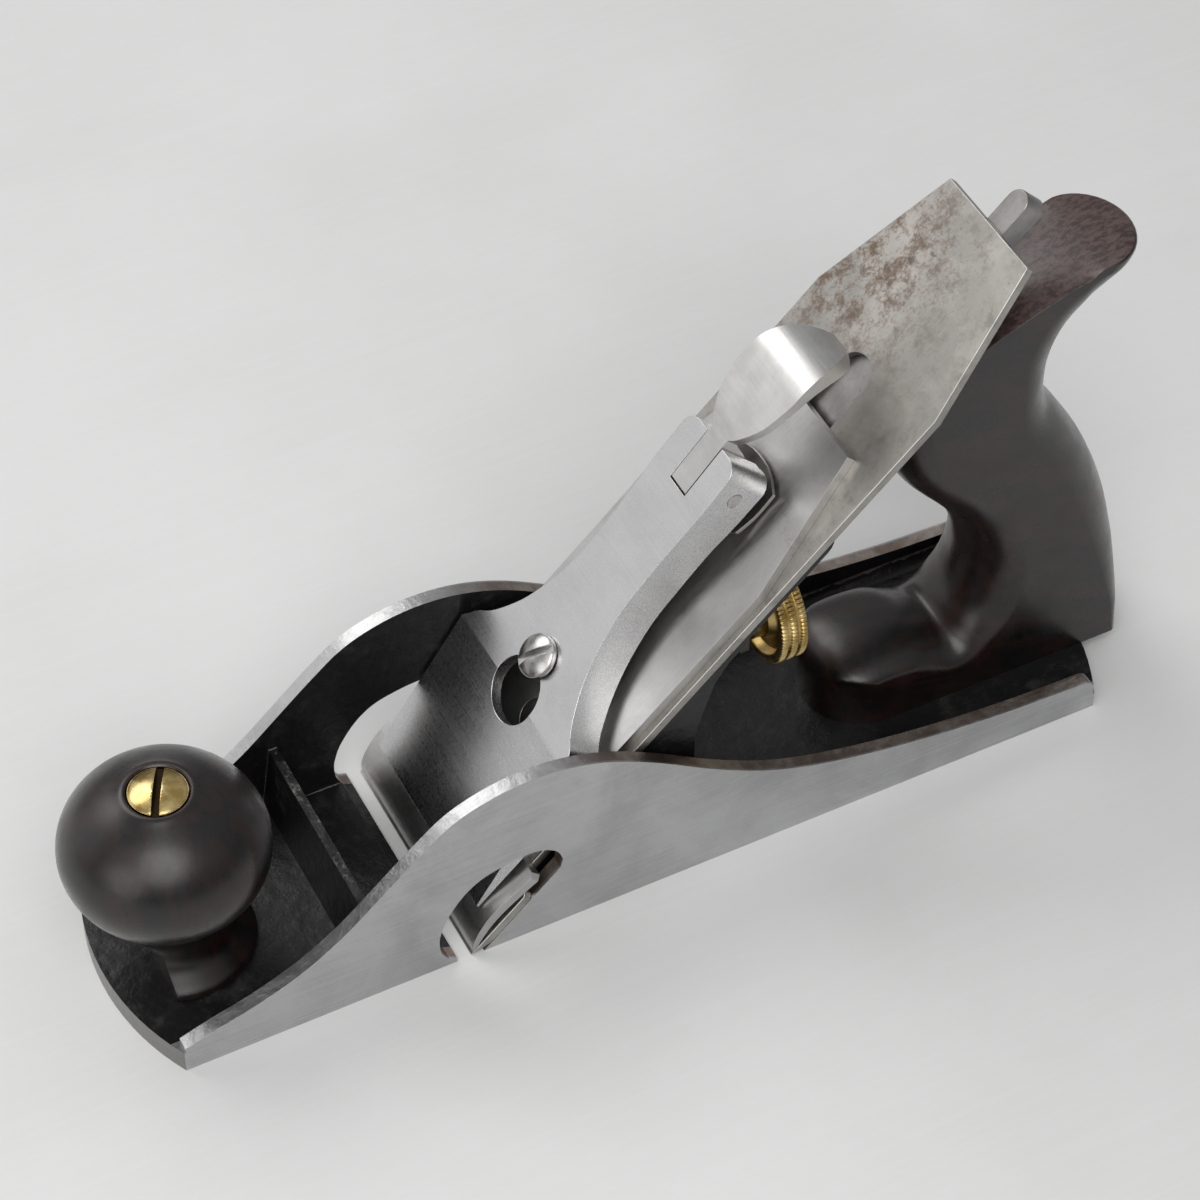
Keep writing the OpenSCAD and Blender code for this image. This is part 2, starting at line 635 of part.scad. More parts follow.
// Half widths of the upper outline, from the fork down to the shoulders
lever_side = [[fork_top - fork_r - 2, fork_w/2], [101, fork_w/2], [93, fork_w/2 - 0.4],
    [84, fork_w/2 - 0.6], [76, fork_w/2 - 0.4], [68, fork_w/2 + 1], [61, fork_w/2 + 3.2],
    [56, fork_w/2 + 5.8], [52, fork_w/2 + 8.6], [49.5, fork_w/2 + 11.4],
    [47.6, lever_w/2 - 1.4], [45.8, lever_w/2]];

module lever_cap_outline(inset) {
  ends = arc(fork_top - fork_r, fork_w/2 - fork_r, fork_r, 0, 90, 6);
  polygon(mirrored(concat([for (p = concat(ends, smooth(lever_side, 3))) [p[0], p[1] - inset]],
      [[tip_at, lever_w/2 - inset]])));
}

module lever_cap() {
  hollow_at = 25;
  arm_n = 7;
  color([0.5, 0.5, 0.48]) bed() difference() {
    intersection() {
      across(lever_w + 2) polygon(concat([[tip_at, rest_n], [tip_at, rest_n + 0.5]],
          smooth([[tip_at + 0.3, rest_n + 0.8], [22.4, 8.1], [crease_at - 3, cap_up(crease_at)
                  - 0.9], [crease_at + 1.5, cap_up(crease_at + 1.5)]], 4),
          [[fork_top + 2, cap_up(fork_top + 2)], [fork_top + 2, arm_n], [96, arm_n], [84, 6],
           [60, rest_n]]));
      translate([0, 0, -1]) linear_extrude(40) lever_cap_outline(0);
    }
    intersection() {
      across(lever_w + 2) polygon([[hollow_at, -2], [hollow_at, 5.6],
          [crease_at, cap_under(crease_at)], [97, cap_under(97)], [97, -2]]);
      translate([0, 0, -4]) linear_extrude(40) lever_cap_outline(lever_wall);
    }
    // Keyhole: large hole below, neck up to the screw
    translate([screw_at - keyhole_run, 0, 0]) cylinder(r = large_hole_r, h = 30, $fn = 64);
    round_slot(screw_at - keyhole_run, screw_at, lever_screw_d/2 + free_gap, 0, 30);
    // Slot of the fork with its undercut, and the window for the spring behind it
    translate([fork_bottom, -cam_w/2 - 0.15, -1]) cube([20, cam_w + 0.3, 40]);
    translate([cam_pin_at, 0, cam_pin_h]) rotate([90, 0, 0])
      cylinder(r = cam_corner + free_gap, h = cam_w + 0.3, center = true, $fn = 96);
    translate([90, -spring_neck_w/2 - 0.6, -1]) cube([30, spring_neck_w + 1.2, 8.6]);
    translate([cam_pin_at, 0, cam_pin_h]) rotate([90, 0, 0])
      cylinder(d = cam_pin_d + 2*pin_fit, h = 60, center = true, $fn = 48);
    translate([rivet_at, 0, 0]) cylinder(d = rivet_d, h = cap_under(rivet_at) + 1.6, $fn = 48);
  }
}

cam_pin_at = 107.4;
// The stem's upper corner, which swings round the pin inside the fork
cam_end = cam_pin_at - cam_r;
cam_corner = norm([cam_r, cap_up(cam_end) - cam_pin_h]);
// The leaf spring is a T: a narrow neck and a wide end under the cam
spring_neck_w = 8;
spring_w = 17.2;
rivet_at = 73;
rivet_d = 3;

module lever_cap_screw() {
  head_d = 9.2;
  // The head clears the upper face, which rises under it
  under = cap_up(screw_at + head_d/2) + 0.1;
  color([0.45, 0.44, 0.42]) bed() translate([screw_at, 0, 0]) {
    translate([0, 0, -13.2]) cylinder(d = lever_screw_d, h = 13.2 + under + 0.1, $fn = 48);
    translate([0, 0, under]) rotate([0, 0, -28]) slotted_dome(head_d, 1, 1.5, 1.5, 1.5);
  }
}

module cap_spring() {
  t = 0.9;
  seat = concat([[66, cap_under(66) - slide_fit]],
      smooth([[78, cap_under(78) - slide_fit], [83, 11.8], [88, 10.1], [95, 7], [101, 4.8],
              [107, 3.7], [116, 4.5]], 5));
  color([0.38, 0.36, 0.33]) bed() difference() {
    intersection() {
      across(spring_w + 2) polygon(concat(seat,
          [for (i = [len(seat) - 1:-1:0]) [seat[i][0] - 0.2*t, seat[i][1] - t]]));
      linear_extrude(20) polygon(mirrored(concat([[60, spring_neck_w/2],
          [97, spring_neck_w/2], [101, spring_w/2]], smooth([[111.6, spring_w/2],
          [113.2, spring_w/2 - 2.7], [114.1, spring_w/2 - 5.4], [114.4, 1]], 4))));
    }
    translate([rivet_at, 0, 0]) cylinder(d = rivet_d, h = 30, $fn = 48);
  }
}

module spring_rivet() {
  head_t = 0.9;
  spring_n = cap_under(rivet_at) - slide_fit - 1.05;
  color([0.38, 0.36, 0.33]) bed() translate([rivet_at, 0, spring_n - head_t]) {
    cylinder(d = rivet_d + 2.4, h = head_t, $fn = 48);
    cylinder(d = rivet_d, h = head_t + 2.4, $fn = 48);
  }
}

// cam lever

module cam_lever() {
  nose_r = 8.3;
  p = [cam_pin_at, cam_pin_h];
  side = concat([[cam_end, cap_up(cam_end)]], arc(p[0], p[1], cam_r, 180, 225, 6),
      arc(p[0], p[1], nose_r, 262, 280, 4),
      smooth([[112.5, 8.4], [114.5, 12.4], [115.5, 15.2], [118, 16.5], [127, 16.6],
              [132, 16.1], [136, 14.2], [139.2, 11.2], [141, 8.8]], 3),
      smooth([[142.9, 9.2], [141.2, 12.7], [138.4, 16], [135, 18], [131, 18.7], [120, 19],
              [116, 18.7], [112, cap_up(112)]], 3));
  // Half widths as shares of what the thumb piece is wider than the stem
  half = [for (q = smooth([[115.7, 0], [116.4, 0.14], [117.4, 0.3], [120, 0.58], [123, 0.8],
      [127, 0.94], [131, 1], [135, 0.94], [138, 0.8], [140.4, 0.57], [142.2, 0.22],
      [143, -0.12]], 3)) [q[0], cam_w/2 + q[1]*(thumb_w - cam_w)/2]];
  color([0.46, 0.45, 0.42]) bed() difference() {
    intersection() {
      across(thumb_w + 4) polygon(side);
      linear_extrude(40) polygon(mirrored(concat([[90, cam_w/2]], half)));
    }
    translate([p[0], 0, p[1]]) rotate([90, 0, 0])
      cylinder(d = cam_pin_d + 2*pin_fit, h = 40, center = true, $fn = 48);
  }
}

module cam_pin() {
  color([0.45, 0.44, 0.42]) bed() translate([cam_pin_at, 0, cam_pin_h]) rotate([90, 0, 0])
    cylinder(d = cam_pin_d, h = fork_w, center = true, $fn = 48);
}

// depth feed

wheel_front = edge_x - 78;
hub_front = edge_x - 67.5;
groove_x = edge_x - 72;
groove_w = 3.6;
groove_d = 9;
journal_d = 10;
stud_back = wheel_front - wheel_t - 2;

module along_x(x0, x1, d) {
  translate([x0, 0, stud_h]) rotate([0, 90, 0]) cylinder(d = d, h = x1 - x0, $fn = 96);
}

module depth_hub() {
  color([0.74, 0.57, 0.27]) difference() {
    union() {
      along_x(wheel_front, hub_front, hub_d);
      along_x(wheel_front - wheel_t + 1, wheel_front + 1, journal_d);
      along_x(wheel_front - wheel_t + 0.2, wheel_front - wheel_t + 1.2, journal_d);
    }
    difference() {
      along_x(groove_x - groove_w/2, groove_x + groove_w/2, hub_d + 2);
      along_x(groove_x - groove_w, groove_x + groove_w, groove_d);
    }
    along_x(stud_back - 10, hub_front + 10, stud_d + 2*pin_fit);
  }
}

module depth_wheel() {
  rim = 2;
  recess = 2;
  web_front = wheel_front - recess;
  color([0.74, 0.57, 0.27]) difference() {
    union() {
      along_x(wheel_front - wheel_t, wheel_front, wheel_d - 0.6);
      for (k = [0:2]) let (band = (wheel_t - 0.8)/3)
        along_x(wheel_front - wheel_t + k*(band + 0.4),
                wheel_front - wheel_t + k*(band + 0.4) + band, wheel_d);
    }
    difference() {
      along_x(web_front, wheel_front + 1, wheel_d - 2*rim - 1);
      along_x(web_front - 1, wheel_front - 0.05, hub_d + 1.6);
    }
    along_x(wheel_front - wheel_t - 1, wheel_front + 2, journal_d + 2*pin_fit);
    along_x(wheel_front - 0.05, wheel_front + 2, hub_d + 4);
  }
}

module depth_stud() {
  color([0.5, 0.5, 0.48]) along_x(stud_back, boss_back + 6.5, stud_d);
}

// yoke

module yoke() {
  pv = yoke_pivot;
  prong_t = 2.2;
  prong_top = stud_h + hub_d/2 + 2.2;
  fork_half = groove_d/2 + free_gap;
  color([0.2, 0.19, 0.18]) difference() {
    union() {
      across(yoke_w) polygon(concat([bp(81.5, 1.7), bp(78.5, 1.7), bp(78.2, -6)],
          [bp(76.6, -9.2)], [[pv[0] - 0.4, pv[1] - 3.9], [groove_x + prong_t/2, prong_top]],
          [[groove_x - prong_t/2, prong_top], [groove_x - prong_t/2, prong_top + 2.4],
           [pv[0] - 3, pv[1] + 2.6], bp(82.4, -6)]));
      translate([groove_x - prong_t/2, -fork_half - 3, prong_top - 0.6])
        cube([prong_t, 2*fork_half + 6, 3]);
      for (side = [-1, 1]) translate([groove_x - prong_t/2,
          side*(fork_half + 1.5) - 1.5, stud_h - 3]) cube([prong_t, 3, prong_top - stud_h + 4]);
    }
    translate([pv[0], 0, pv[1]]) rotate([90, 0, 0])
      cylinder(d = yoke_pin_d + 2*pin_fit, h = 40, center = true, $fn = 48);
  }
}

module yoke_pin() {
  color([0.4, 0.4, 0.38]) translate([yoke_pivot[0], 0, yoke_pivot[1]]) rotate([90, 0, 0])
    cylinder(d = yoke_pin_d, h = yoke_w + 2*free_gap + 2*lug_w, center = true, $fn = 48);
}

// lateral lever

lateral_top = -bed_drop - slide_fit;
disc_d = slot_w - 0.5;
disc_rivet_d = 3.2;

module lateral_lever() {
  tail = 90;
  tip = tail + lateral_len;
  thumb = 5.5;
  neck = 150;
  color([0.22, 0.2, 0.18]) bed() difference() {
    union() {
      translate([0, 0, lateral_top - lateral_t]) linear_extrude(lateral_t)
        polygon(mirrored(concat([for (p = arc(tail + lateral_w/2, 0, lateral_w/2, 180, 90, 8)) p],
            [[neck, lateral_w/2], [172, thumb/2]],
            [for (p = arc(tip - thumb/2, 0, thumb/2, 90, 0, 6)) p])));
      difference() {
        translate([0, 0, lateral_top - skirt_h]) linear_extrude(skirt_h)
          polygon(mirrored(concat([[174, thumb/2]],
              [for (p = arc(tip - thumb/2, 0, thumb/2, 90, 0, 6)) p])));
        translate([170, -thumb/2 + 1.1, lateral_top - skirt_h - 1])
          cube([tip - thumb/2 - 170, thumb - 2.2, skirt_h]);
      }
    }
    translate([lateral_at, 0, -20])
      cylinder(d = lateral_rivet_d + 2*pin_fit, h = 30, $fn = 48);
    translate([disc_at, 0, -20]) cylinder(d = disc_rivet_d, h = 30, $fn = 48);
  }
}

module lateral_rivet() {
  under = -bed_drop - frog_plate;
  color([0.3, 0.28, 0.26]) bed() translate([lateral_at, 0, under - 0.8]) {
    cylinder(d = lateral_rivet_d + 2.4, h = 0.8, $fn = 48);
    cylinder(d = lateral_rivet_d, h = lateral_top - under + 0.8 + slide_fit, $fn = 48);
    translate([0, 0, lateral_top - under + 0.8 + slide_fit])
      cylinder(d = lateral_rivet_d + 1.4, h = 0.8, $fn = 48);
  }
}

module lateral_disc() {
  color([0.35, 0.33, 0.3]) bed() translate([disc_at, 0, lateral_top + slide_fit]) difference() {
    cylinder(d = disc_d, h = iron_t - 0.2, $fn = 64);
    translate([0, 0, -1]) cylinder(d = disc_rivet_d, h = 5, $fn = 48);
  }
}

module disc_rivet() {
  color([0.35, 0.33, 0.3]) bed() translate([disc_at, 0, lateral_top - lateral_t])
    cylinder(d = disc_rivet_d, h = lateral_t + iron_t - 0.3, $fn = 48);
}

body();
frog();
frog_screws();
frog_washers();
knob();
knob_stud();
knob_nut();
tote();
tote_stud();
tote_nut();
lever_cap();
lever_cap_screw();
cam_lever();
cam_pin();
cap_spring();
spring_rivet();
cap_iron();
cap_iron_screw();
iron();
depth_hub();
depth_wheel();
depth_stud();
yoke();
yoke_pin();
lateral_lever();
lateral_disc();
disc_rivet();
lateral_rivet();
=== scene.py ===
"""Looks of the rabbet plane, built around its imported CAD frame.

The CAD frame is in metres: origin in the middle of the sole, +X to the toe, +Z up.
Sizes and places of the piece are written in millimetres here, and MM turns them into
metres. The lamps and the floor are in metres.
"""
import math

import bmesh
import bpy
from mathutils import Matrix, Vector


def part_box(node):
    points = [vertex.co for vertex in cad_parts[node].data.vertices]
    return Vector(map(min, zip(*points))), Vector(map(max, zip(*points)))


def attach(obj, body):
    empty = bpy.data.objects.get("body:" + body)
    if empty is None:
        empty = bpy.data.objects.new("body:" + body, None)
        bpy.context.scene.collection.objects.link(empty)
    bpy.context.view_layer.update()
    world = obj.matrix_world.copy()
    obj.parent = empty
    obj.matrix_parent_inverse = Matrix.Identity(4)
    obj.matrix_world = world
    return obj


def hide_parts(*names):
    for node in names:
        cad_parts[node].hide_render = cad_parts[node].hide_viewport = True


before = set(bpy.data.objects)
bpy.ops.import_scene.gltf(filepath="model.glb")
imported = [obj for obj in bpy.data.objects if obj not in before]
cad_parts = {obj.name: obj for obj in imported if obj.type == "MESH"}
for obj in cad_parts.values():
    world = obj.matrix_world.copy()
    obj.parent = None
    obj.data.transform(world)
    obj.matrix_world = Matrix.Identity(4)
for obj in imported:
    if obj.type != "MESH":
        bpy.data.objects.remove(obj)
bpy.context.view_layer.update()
MM = 0.001
# Slope of the bed; a texture that is turned by it about Y runs up the bed
PITCH = math.radians(45)
# The two rusty places on the iron's upper face
RUST_AT = ((-68.0, -19.0, 111.0), (-20.0, -26.0, 62.0))


# Node materials

class Finish:
    """A Principled material, put together from a few kinds of nodes."""

    def __init__(self, name, metallic=0.0, coat=0.0, coat_rough=0.1, specular=0.5):
        self.mat = bpy.data.materials.new(name)
        self.mat.use_nodes = True
        self.nodes = self.mat.node_tree.nodes
        self.links = self.mat.node_tree.links
        self.shader = self.nodes["Principled BSDF"]
        self.shader.inputs["Metallic"].default_value = metallic
        self.shader.inputs["Coat Weight"].default_value = coat
        self.shader.inputs["Coat Roughness"].default_value = coat_rough
        self.shader.inputs["Specular IOR Level"].default_value = specular
        coords = self.nodes.new("ShaderNodeTexCoord")
        self.place = coords.outputs["Object"]
        self.normal = coords.outputs["Normal"]
        self.last_bump = None

    def link(self, value, socket):
        """Links an output to a socket, or sets the socket to a number or a colour."""
        if isinstance(value, bpy.types.NodeSocket):
            self.links.new(value, socket)
        elif isinstance(value, (tuple, list)) and len(socket.default_value) == 4:
            socket.default_value = (*value[:3], 1.0)
        else:
            socket.default_value = value

    def scaled(self, size, start, turn=0.0):
        """The place on the piece from start, in units of size in mm, turned about Y."""
        mapping = self.nodes.new("ShaderNodeMapping")
        mapping.vector_type = "TEXTURE"
        mapping.inputs["Location"].default_value = start
        mapping.inputs["Rotation"].default_value = (0.0, turn, 0.0)
        mapping.inputs["Scale"].default_value = tuple(v * MM for v in size)
        self.links.new(self.place, mapping.inputs["Vector"])
        return mapping.outputs["Vector"]

    def noise(self, size, detail=4.0, rough=0.55, turn=0.0, seed=0.0, distortion=0.0):
        """Noise from 0 to 1 with features of the given sizes in mm, turned about Y."""
        vector = self.scaled(size, (seed, 2.3 * seed, -1.7 * seed), turn)
        node = self.nodes.new("ShaderNodeTexNoise")
        node.inputs["Scale"].default_value = 1.0
        node.inputs["Detail"].default_value = detail
        node.inputs["Roughness"].default_value = rough
        node.inputs["Distortion"].default_value = distortion
        self.links.new(vector, node.inputs["Vector"])
        return node.outputs["Fac"]

    def cells(self, size, seed=0.0):
        """Distance from the nearest of scattered points that lie about size in mm apart."""
        vector = self.scaled((size,) * 3, (seed, seed, seed))
        node = self.nodes.new("ShaderNodeTexVoronoi")
        node.inputs["Scale"].default_value = 1.0
        self.links.new(vector, node.inputs["Vector"])
        return node.outputs["Distance"]

    def near(self, point, inner, outer):
        """1 within inner mm of a point of the frame, and 0 from outer mm on."""
        node = self.nodes.new("ShaderNodeVectorMath")
        node.operation = "DISTANCE"
        self.links.new(self.place, node.inputs[0])
        node.inputs[1].default_value = tuple(v * MM for v in point)
        return self.step(node.outputs["Value"], inner * MM, outer * MM, 1.0, 0.0)

    def axes(self, vector):
        """The X, Y and Z of a vector."""
        node = self.nodes.new("ShaderNodeSeparateXYZ")
        self.links.new(vector, node.inputs[0])
        return [node.outputs[i] for i in range(3)]

    def math(self, kind, a, b=0.0):
        node = self.nodes.new("ShaderNodeMath")
        node.operation = kind
        self.link(a, node.inputs[0])
        self.link(b, node.inputs[1])
        return node.outputs[0]

    def times(self, a, b):
        return self.math("MULTIPLY", a, b)

    def blend(self, a, share_a, b, share_b):
        """The sum of two values, each times its share."""
        return self.math("ADD", self.times(a, share_a), self.times(b, share_b))

    def largest(self, *masks):
        """The largest of several values."""
        total = masks[0]
        for mask in masks[1:]:
            total = self.math("MAXIMUM", total, mask)
        return total

    def step(self, value, low, high, out_low=0.0, out_high=1.0):
        """Maps value smoothly from low..high to out_low..out_high."""
        node = self.nodes.new("ShaderNodeMapRange")
        node.interpolation_type = "SMOOTHSTEP"
        self.link(value, node.inputs["Value"])
        node.inputs["From Min"].default_value = low
        node.inputs["From Max"].default_value = high
        node.inputs["To Min"].default_value = out_low
        node.inputs["To Max"].default_value = out_high
        return node.outputs["Result"]

    def step_mm(self, value, low, high):
        """Maps a distance smoothly from low..high, in mm, to 0..1."""
        return self.step(value, low * MM, high * MM)

    def mix(self, share, a, b):
        """From colour a at share 0 to colour b at share 1."""
        node = self.nodes.new("ShaderNodeMix")
        node.data_type = "RGBA"
        self.link(share, node.inputs["Factor"])
        self.link(a, node.inputs["A"])
        self.link(b, node.inputs["B"])
        return node.outputs["Result"]

    def bump(self, height, depth, strength=1.0):
        """Adds relief of the given depth in mm."""
        node = self.nodes.new("ShaderNodeBump")
        node.inputs["Strength"].default_value = strength
        node.inputs["Distance"].default_value = depth * MM
        self.links.new(height, node.inputs["Height"])
        if self.last_bump is not None:
            self.links.new(self.last_bump, node.inputs["Normal"])
        self.last_bump = node.outputs["Normal"]

    def done(self, colour, rough, metallic=None):
        """Connects the shader and gives the material."""
        self.link(colour, self.shader.inputs["Base Color"])
        self.link(rough, self.shader.inputs["Roughness"])
        if metallic is not None:
            self.link(metallic, self.shader.inputs["Metallic"])
        if self.last_bump is not None:
            self.links.new(self.last_bump, self.shader.inputs["Normal"])
        return self.mat


def ground_metal(name, light, dark, stain, rough, grain, blotch, stained, seed, turn=0.0,
                 relief=1.0):
    """Steel with fine grinding lines, uneven tone and darker stains.

    grain is the size of a line in mm and turn its angle about Y, blotch the size of a
    patch, and stained the two limits between which a stain sets in.
    """
    f = Finish(name, metallic=1.0)
    lines = f.noise(grain, detail=5, rough=0.7, turn=turn, seed=seed)
    cloud = f.noise((blotch,) * 3, detail=6, rough=0.62, seed=seed + 3.1, distortion=0.4)
    fleck = f.noise((1.1, 1.1, 1.1), detail=6, rough=0.7, seed=seed + 5.7)
    tone = f.blend(lines, 0.35, cloud, 0.65)
    colour = f.mix(f.step(tone, 0.36, 0.62), dark, light)
    stains = f.step(f.blend(cloud, 0.6, fleck, 0.4), *stained)
    colour = f.mix(f.times(stains, 0.7), colour, stain)
    wear = f.blend(lines, 0.5, fleck, 0.5)
    f.bump(lines, 0.012, 0.5 * relief)
    f.bump(fleck, 0.02, 0.35 * relief)
    return f.done(colour, f.step(wear, 0.3, 0.7, *rough))


def spotted_iron():
    """Old plane iron: clouded warm grey with brown rust, dark spots and fine pits."""
    f = Finish("iron_steel", metallic=1.0)
    cloud = f.noise((21, 21, 21), detail=5, rough=0.6, seed=6.0, distortion=0.5)
    mottle = f.noise((4.2, 4.2, 4.2), detail=7, rough=0.72, seed=2.4)
    grit = f.noise((0.7, 0.7, 0.7), detail=5, rough=0.75, seed=9.1)
    lines = f.noise((26, 0.5, 0.5), detail=5, rough=0.7, turn=PITCH, seed=4.4)
    colour = f.mix(f.step(cloud, 0.36, 0.64), (0.33, 0.32, 0.3), (0.46, 0.44, 0.41))
    colour = f.mix(f.times(f.step(mottle, 0.5, 0.7), 0.55), colour, (0.25, 0.235, 0.215))
    colour = f.mix(f.times(f.step(grit, 0.55, 0.72), 0.45), colour, (0.17, 0.14, 0.12))
    colour = f.mix(f.times(f.step(lines, 0.52, 0.72), 0.2), colour, (0.62, 0.6, 0.57))
    rusty = f.largest(f.near(RUST_AT[0], 8, 34), f.near(RUST_AT[1], 3, 22))
    rust = f.step(f.blend(mottle, 0.65, grit, 0.35), 0.44, 0.6)
    colour = f.mix(f.times(f.times(rust, rusty), 0.8), colour, (0.15, 0.095, 0.06))
    spots = f.step(f.cells(7.5, seed=1.0), 0.17, 0.06)
    spots = f.times(spots, f.step(mottle, 0.42, 0.55))
    colour = f.mix(f.times(spots, 0.7), colour, (0.12, 0.1, 0.09))
    # Painted highlight: the bevelled edges around the iron's front face are painted pale grey
    nx, _, nz = f.axes(f.normal)
    facing = f.times(f.math("ADD", nx, nz), math.cos(PITCH))
    painted_edge_highlight = f.times(f.step(facing, 0.3, 0.5), f.step(facing, 0.97, 0.9))
    colour = f.mix(f.times(painted_edge_highlight, 0.7), colour, (0.8, 0.79, 0.77))
    f.bump(mottle, 0.05, 0.35)
    f.bump(grit, 0.03, 0.45)
    return f.done(colour, f.step(mottle, 0.35, 0.7, 0.36, 0.58))


def japan_nodes(f):
    """Colour and roughness of old black japanning, with its relief added to f."""
    lumps = f.noise((3.2, 3.2, 3.2), detail=3, rough=0.5, seed=1.2)
    sand = f.noise((0.55, 0.55, 0.55), detail=5, rough=0.7, seed=2.2)
    dust = f.step(f.noise((7, 7, 7), detail=7, rough=0.72, seed=7.0), 0.5, 0.72)
    specks = f.step(f.cells(1.7, seed=4.0), 0.13, 0.07)
    colour = f.mix(dust, (0.0075, 0.0075, 0.0085), (0.022, 0.0205, 0.0195))
    colour = f.mix(f.times(specks, f.times(dust, 0.5)), colour, (0.16, 0.14, 0.115))
    rough = f.step(f.blend(sand, 0.5, dust, 0.5), 0.1, 0.8, 0.26, 0.62)
    f.bump(lumps, 0.4, 0.7)
    f.bump(sand, 0.08, 0.6)
    return colour, rough


def japanned(name):
    """Black japanning all over."""
    f = Finish(name, specular=0.36)
    return f.done(*japan_nodes(f))


# Where the body's surfaces change, in mm from its middle, along X or up from the sole
INNER_FACE = 23.7
OUTER_FACE = 26.5
CURVED_ENDS = 99
BROWN_BEHIND = 26
OPENING_X = (17, 50)
OPENING_TOP = 26
RIB_X = (58, 66)
RIB_TOP = 20.4


def body_metal():
    """Ground iron on the outside, brown on the bare edges and japanned inside."""
    f = Finish("body_iron", specular=0.36)
    x, y, z = f.axes(f.place)
    nx, ny, nz = f.axes(f.normal)
    side = f.math("ABSOLUTE", y)
    ragged = f.times(f.math("SUBTRACT", f.noise((2.2, 2.2, 2.2), 5, 0.65), 0.5), 1.6 * MM)

    # Bare iron: outer faces, tops of the walls, sides of the openings, both ends, sole
    outer = f.step_mm(side, OUTER_FACE, OUTER_FACE + 0.2)
    in_wall = f.step_mm(f.math("ADD", side, f.times(ragged, 0.5)),
                        INNER_FACE, INNER_FACE + 0.3)
    rim = f.times(in_wall, f.step(nz, 0.15, 0.35))
    opening_sides = f.times(in_wall, f.step(f.math("ABSOLUTE", ny), 0.6, 0.4))
    ends = f.times(f.step(f.math("ABSOLUTE", nx), 0.35, 0.5),
                   f.step_mm(f.math("ABSOLUTE", x), CURVED_ENDS, CURVED_ENDS + 2))
    sole = f.step_mm(z, 0.5, 0.2)
    bare = f.largest(outer, rim, opening_sides, ends, sole)

    lines = f.noise((34, 0.3, 0.3), detail=5, rough=0.72, seed=1.0)
    slant = f.noise((22, 22, 0.35), detail=5, rough=0.7, turn=math.radians(18), seed=9.0)
    cloud = f.noise((24, 24, 24), detail=6, rough=0.6, seed=3.0, distortion=0.5)
    fleck = f.noise((0.8, 0.8, 0.8), detail=5, rough=0.7, seed=6.0)
    tone = f.blend(lines, 0.4, cloud, 0.6)
    iron = f.mix(f.step(tone, 0.36, 0.64), (0.4, 0.4, 0.405), (0.56, 0.56, 0.565))
    iron = f.mix(f.times(f.step(fleck, 0.62, 0.75), 0.5), iron, (0.2, 0.19, 0.185))
    iron = f.mix(f.times(f.step(slant, 0.5, 0.75), 0.25), iron, (0.6, 0.6, 0.6))

    # Brown on the rear half of the rims and inside the openings
    patch = f.noise((8, 8, 8), detail=6, rough=0.65, seed=12.0)
    brown = f.mix(f.step(patch, 0.4, 0.65), (0.2, 0.135, 0.1), (0.4, 0.34, 0.29))
    rear = f.step_mm(f.math("ADD", x, f.times(ragged, 6.0)), BROWN_BEHIND, BROWN_BEHIND - 18)
    low = f.times(f.step_mm(z, OPENING_TOP, OPENING_TOP - 4),
                  f.step_mm(side, OUTER_FACE + 0.1, OUTER_FACE - 0.2))
    in_opening = f.times(f.times(low, f.step_mm(x, OPENING_X[1], OPENING_X[1] - 2)),
                         f.step_mm(x, OPENING_X[0], OPENING_X[0] + 2))
    rust = f.times(f.step_mm(side, OUTER_FACE + 0.25, OUTER_FACE - 0.1),
                   f.largest(rear, in_opening))
    iron = f.mix(f.times(rust, 0.85), iron, brown)
    iron = f.mix(f.times(ends, 0.75), iron, (0.2, 0.19, 0.185))

    # Japanning inside, worn on top of the rib
    paint, paint_rough = japan_nodes(f)
    on_rib = f.times(f.step_mm(x, RIB_X[0], RIB_X[0] + 2), f.step_mm(x, RIB_X[1], RIB_X[1] - 2))
    rib_top = f.times(f.step(nz, 0.6, 0.8), f.step_mm(z, RIB_TOP, RIB_TOP + 0.5))
    worn = f.times(f.times(rib_top, on_rib),
                   f.step(f.noise((4, 6, 4), 5, 0.7, seed=8.0), 0.52, 0.68))
    paint = f.mix(worn, paint, (0.2, 0.19, 0.18))

    metal_rough = f.step(f.blend(lines, 0.6, cloud, 0.4), 0.3, 0.7, 0.3, 0.46)
    rough = f.math("ADD", f.times(metal_rough, bare),
                   f.times(paint_rough, f.math("SUBTRACT", 1.0, bare)))
    return f.done(f.mix(bare, paint, iron), rough, bare)


# Heights in mm between which the lighter top of the tote's horn sets in: partly worn finish,
# partly painted highlight
HORN_TOP = (99, 108)


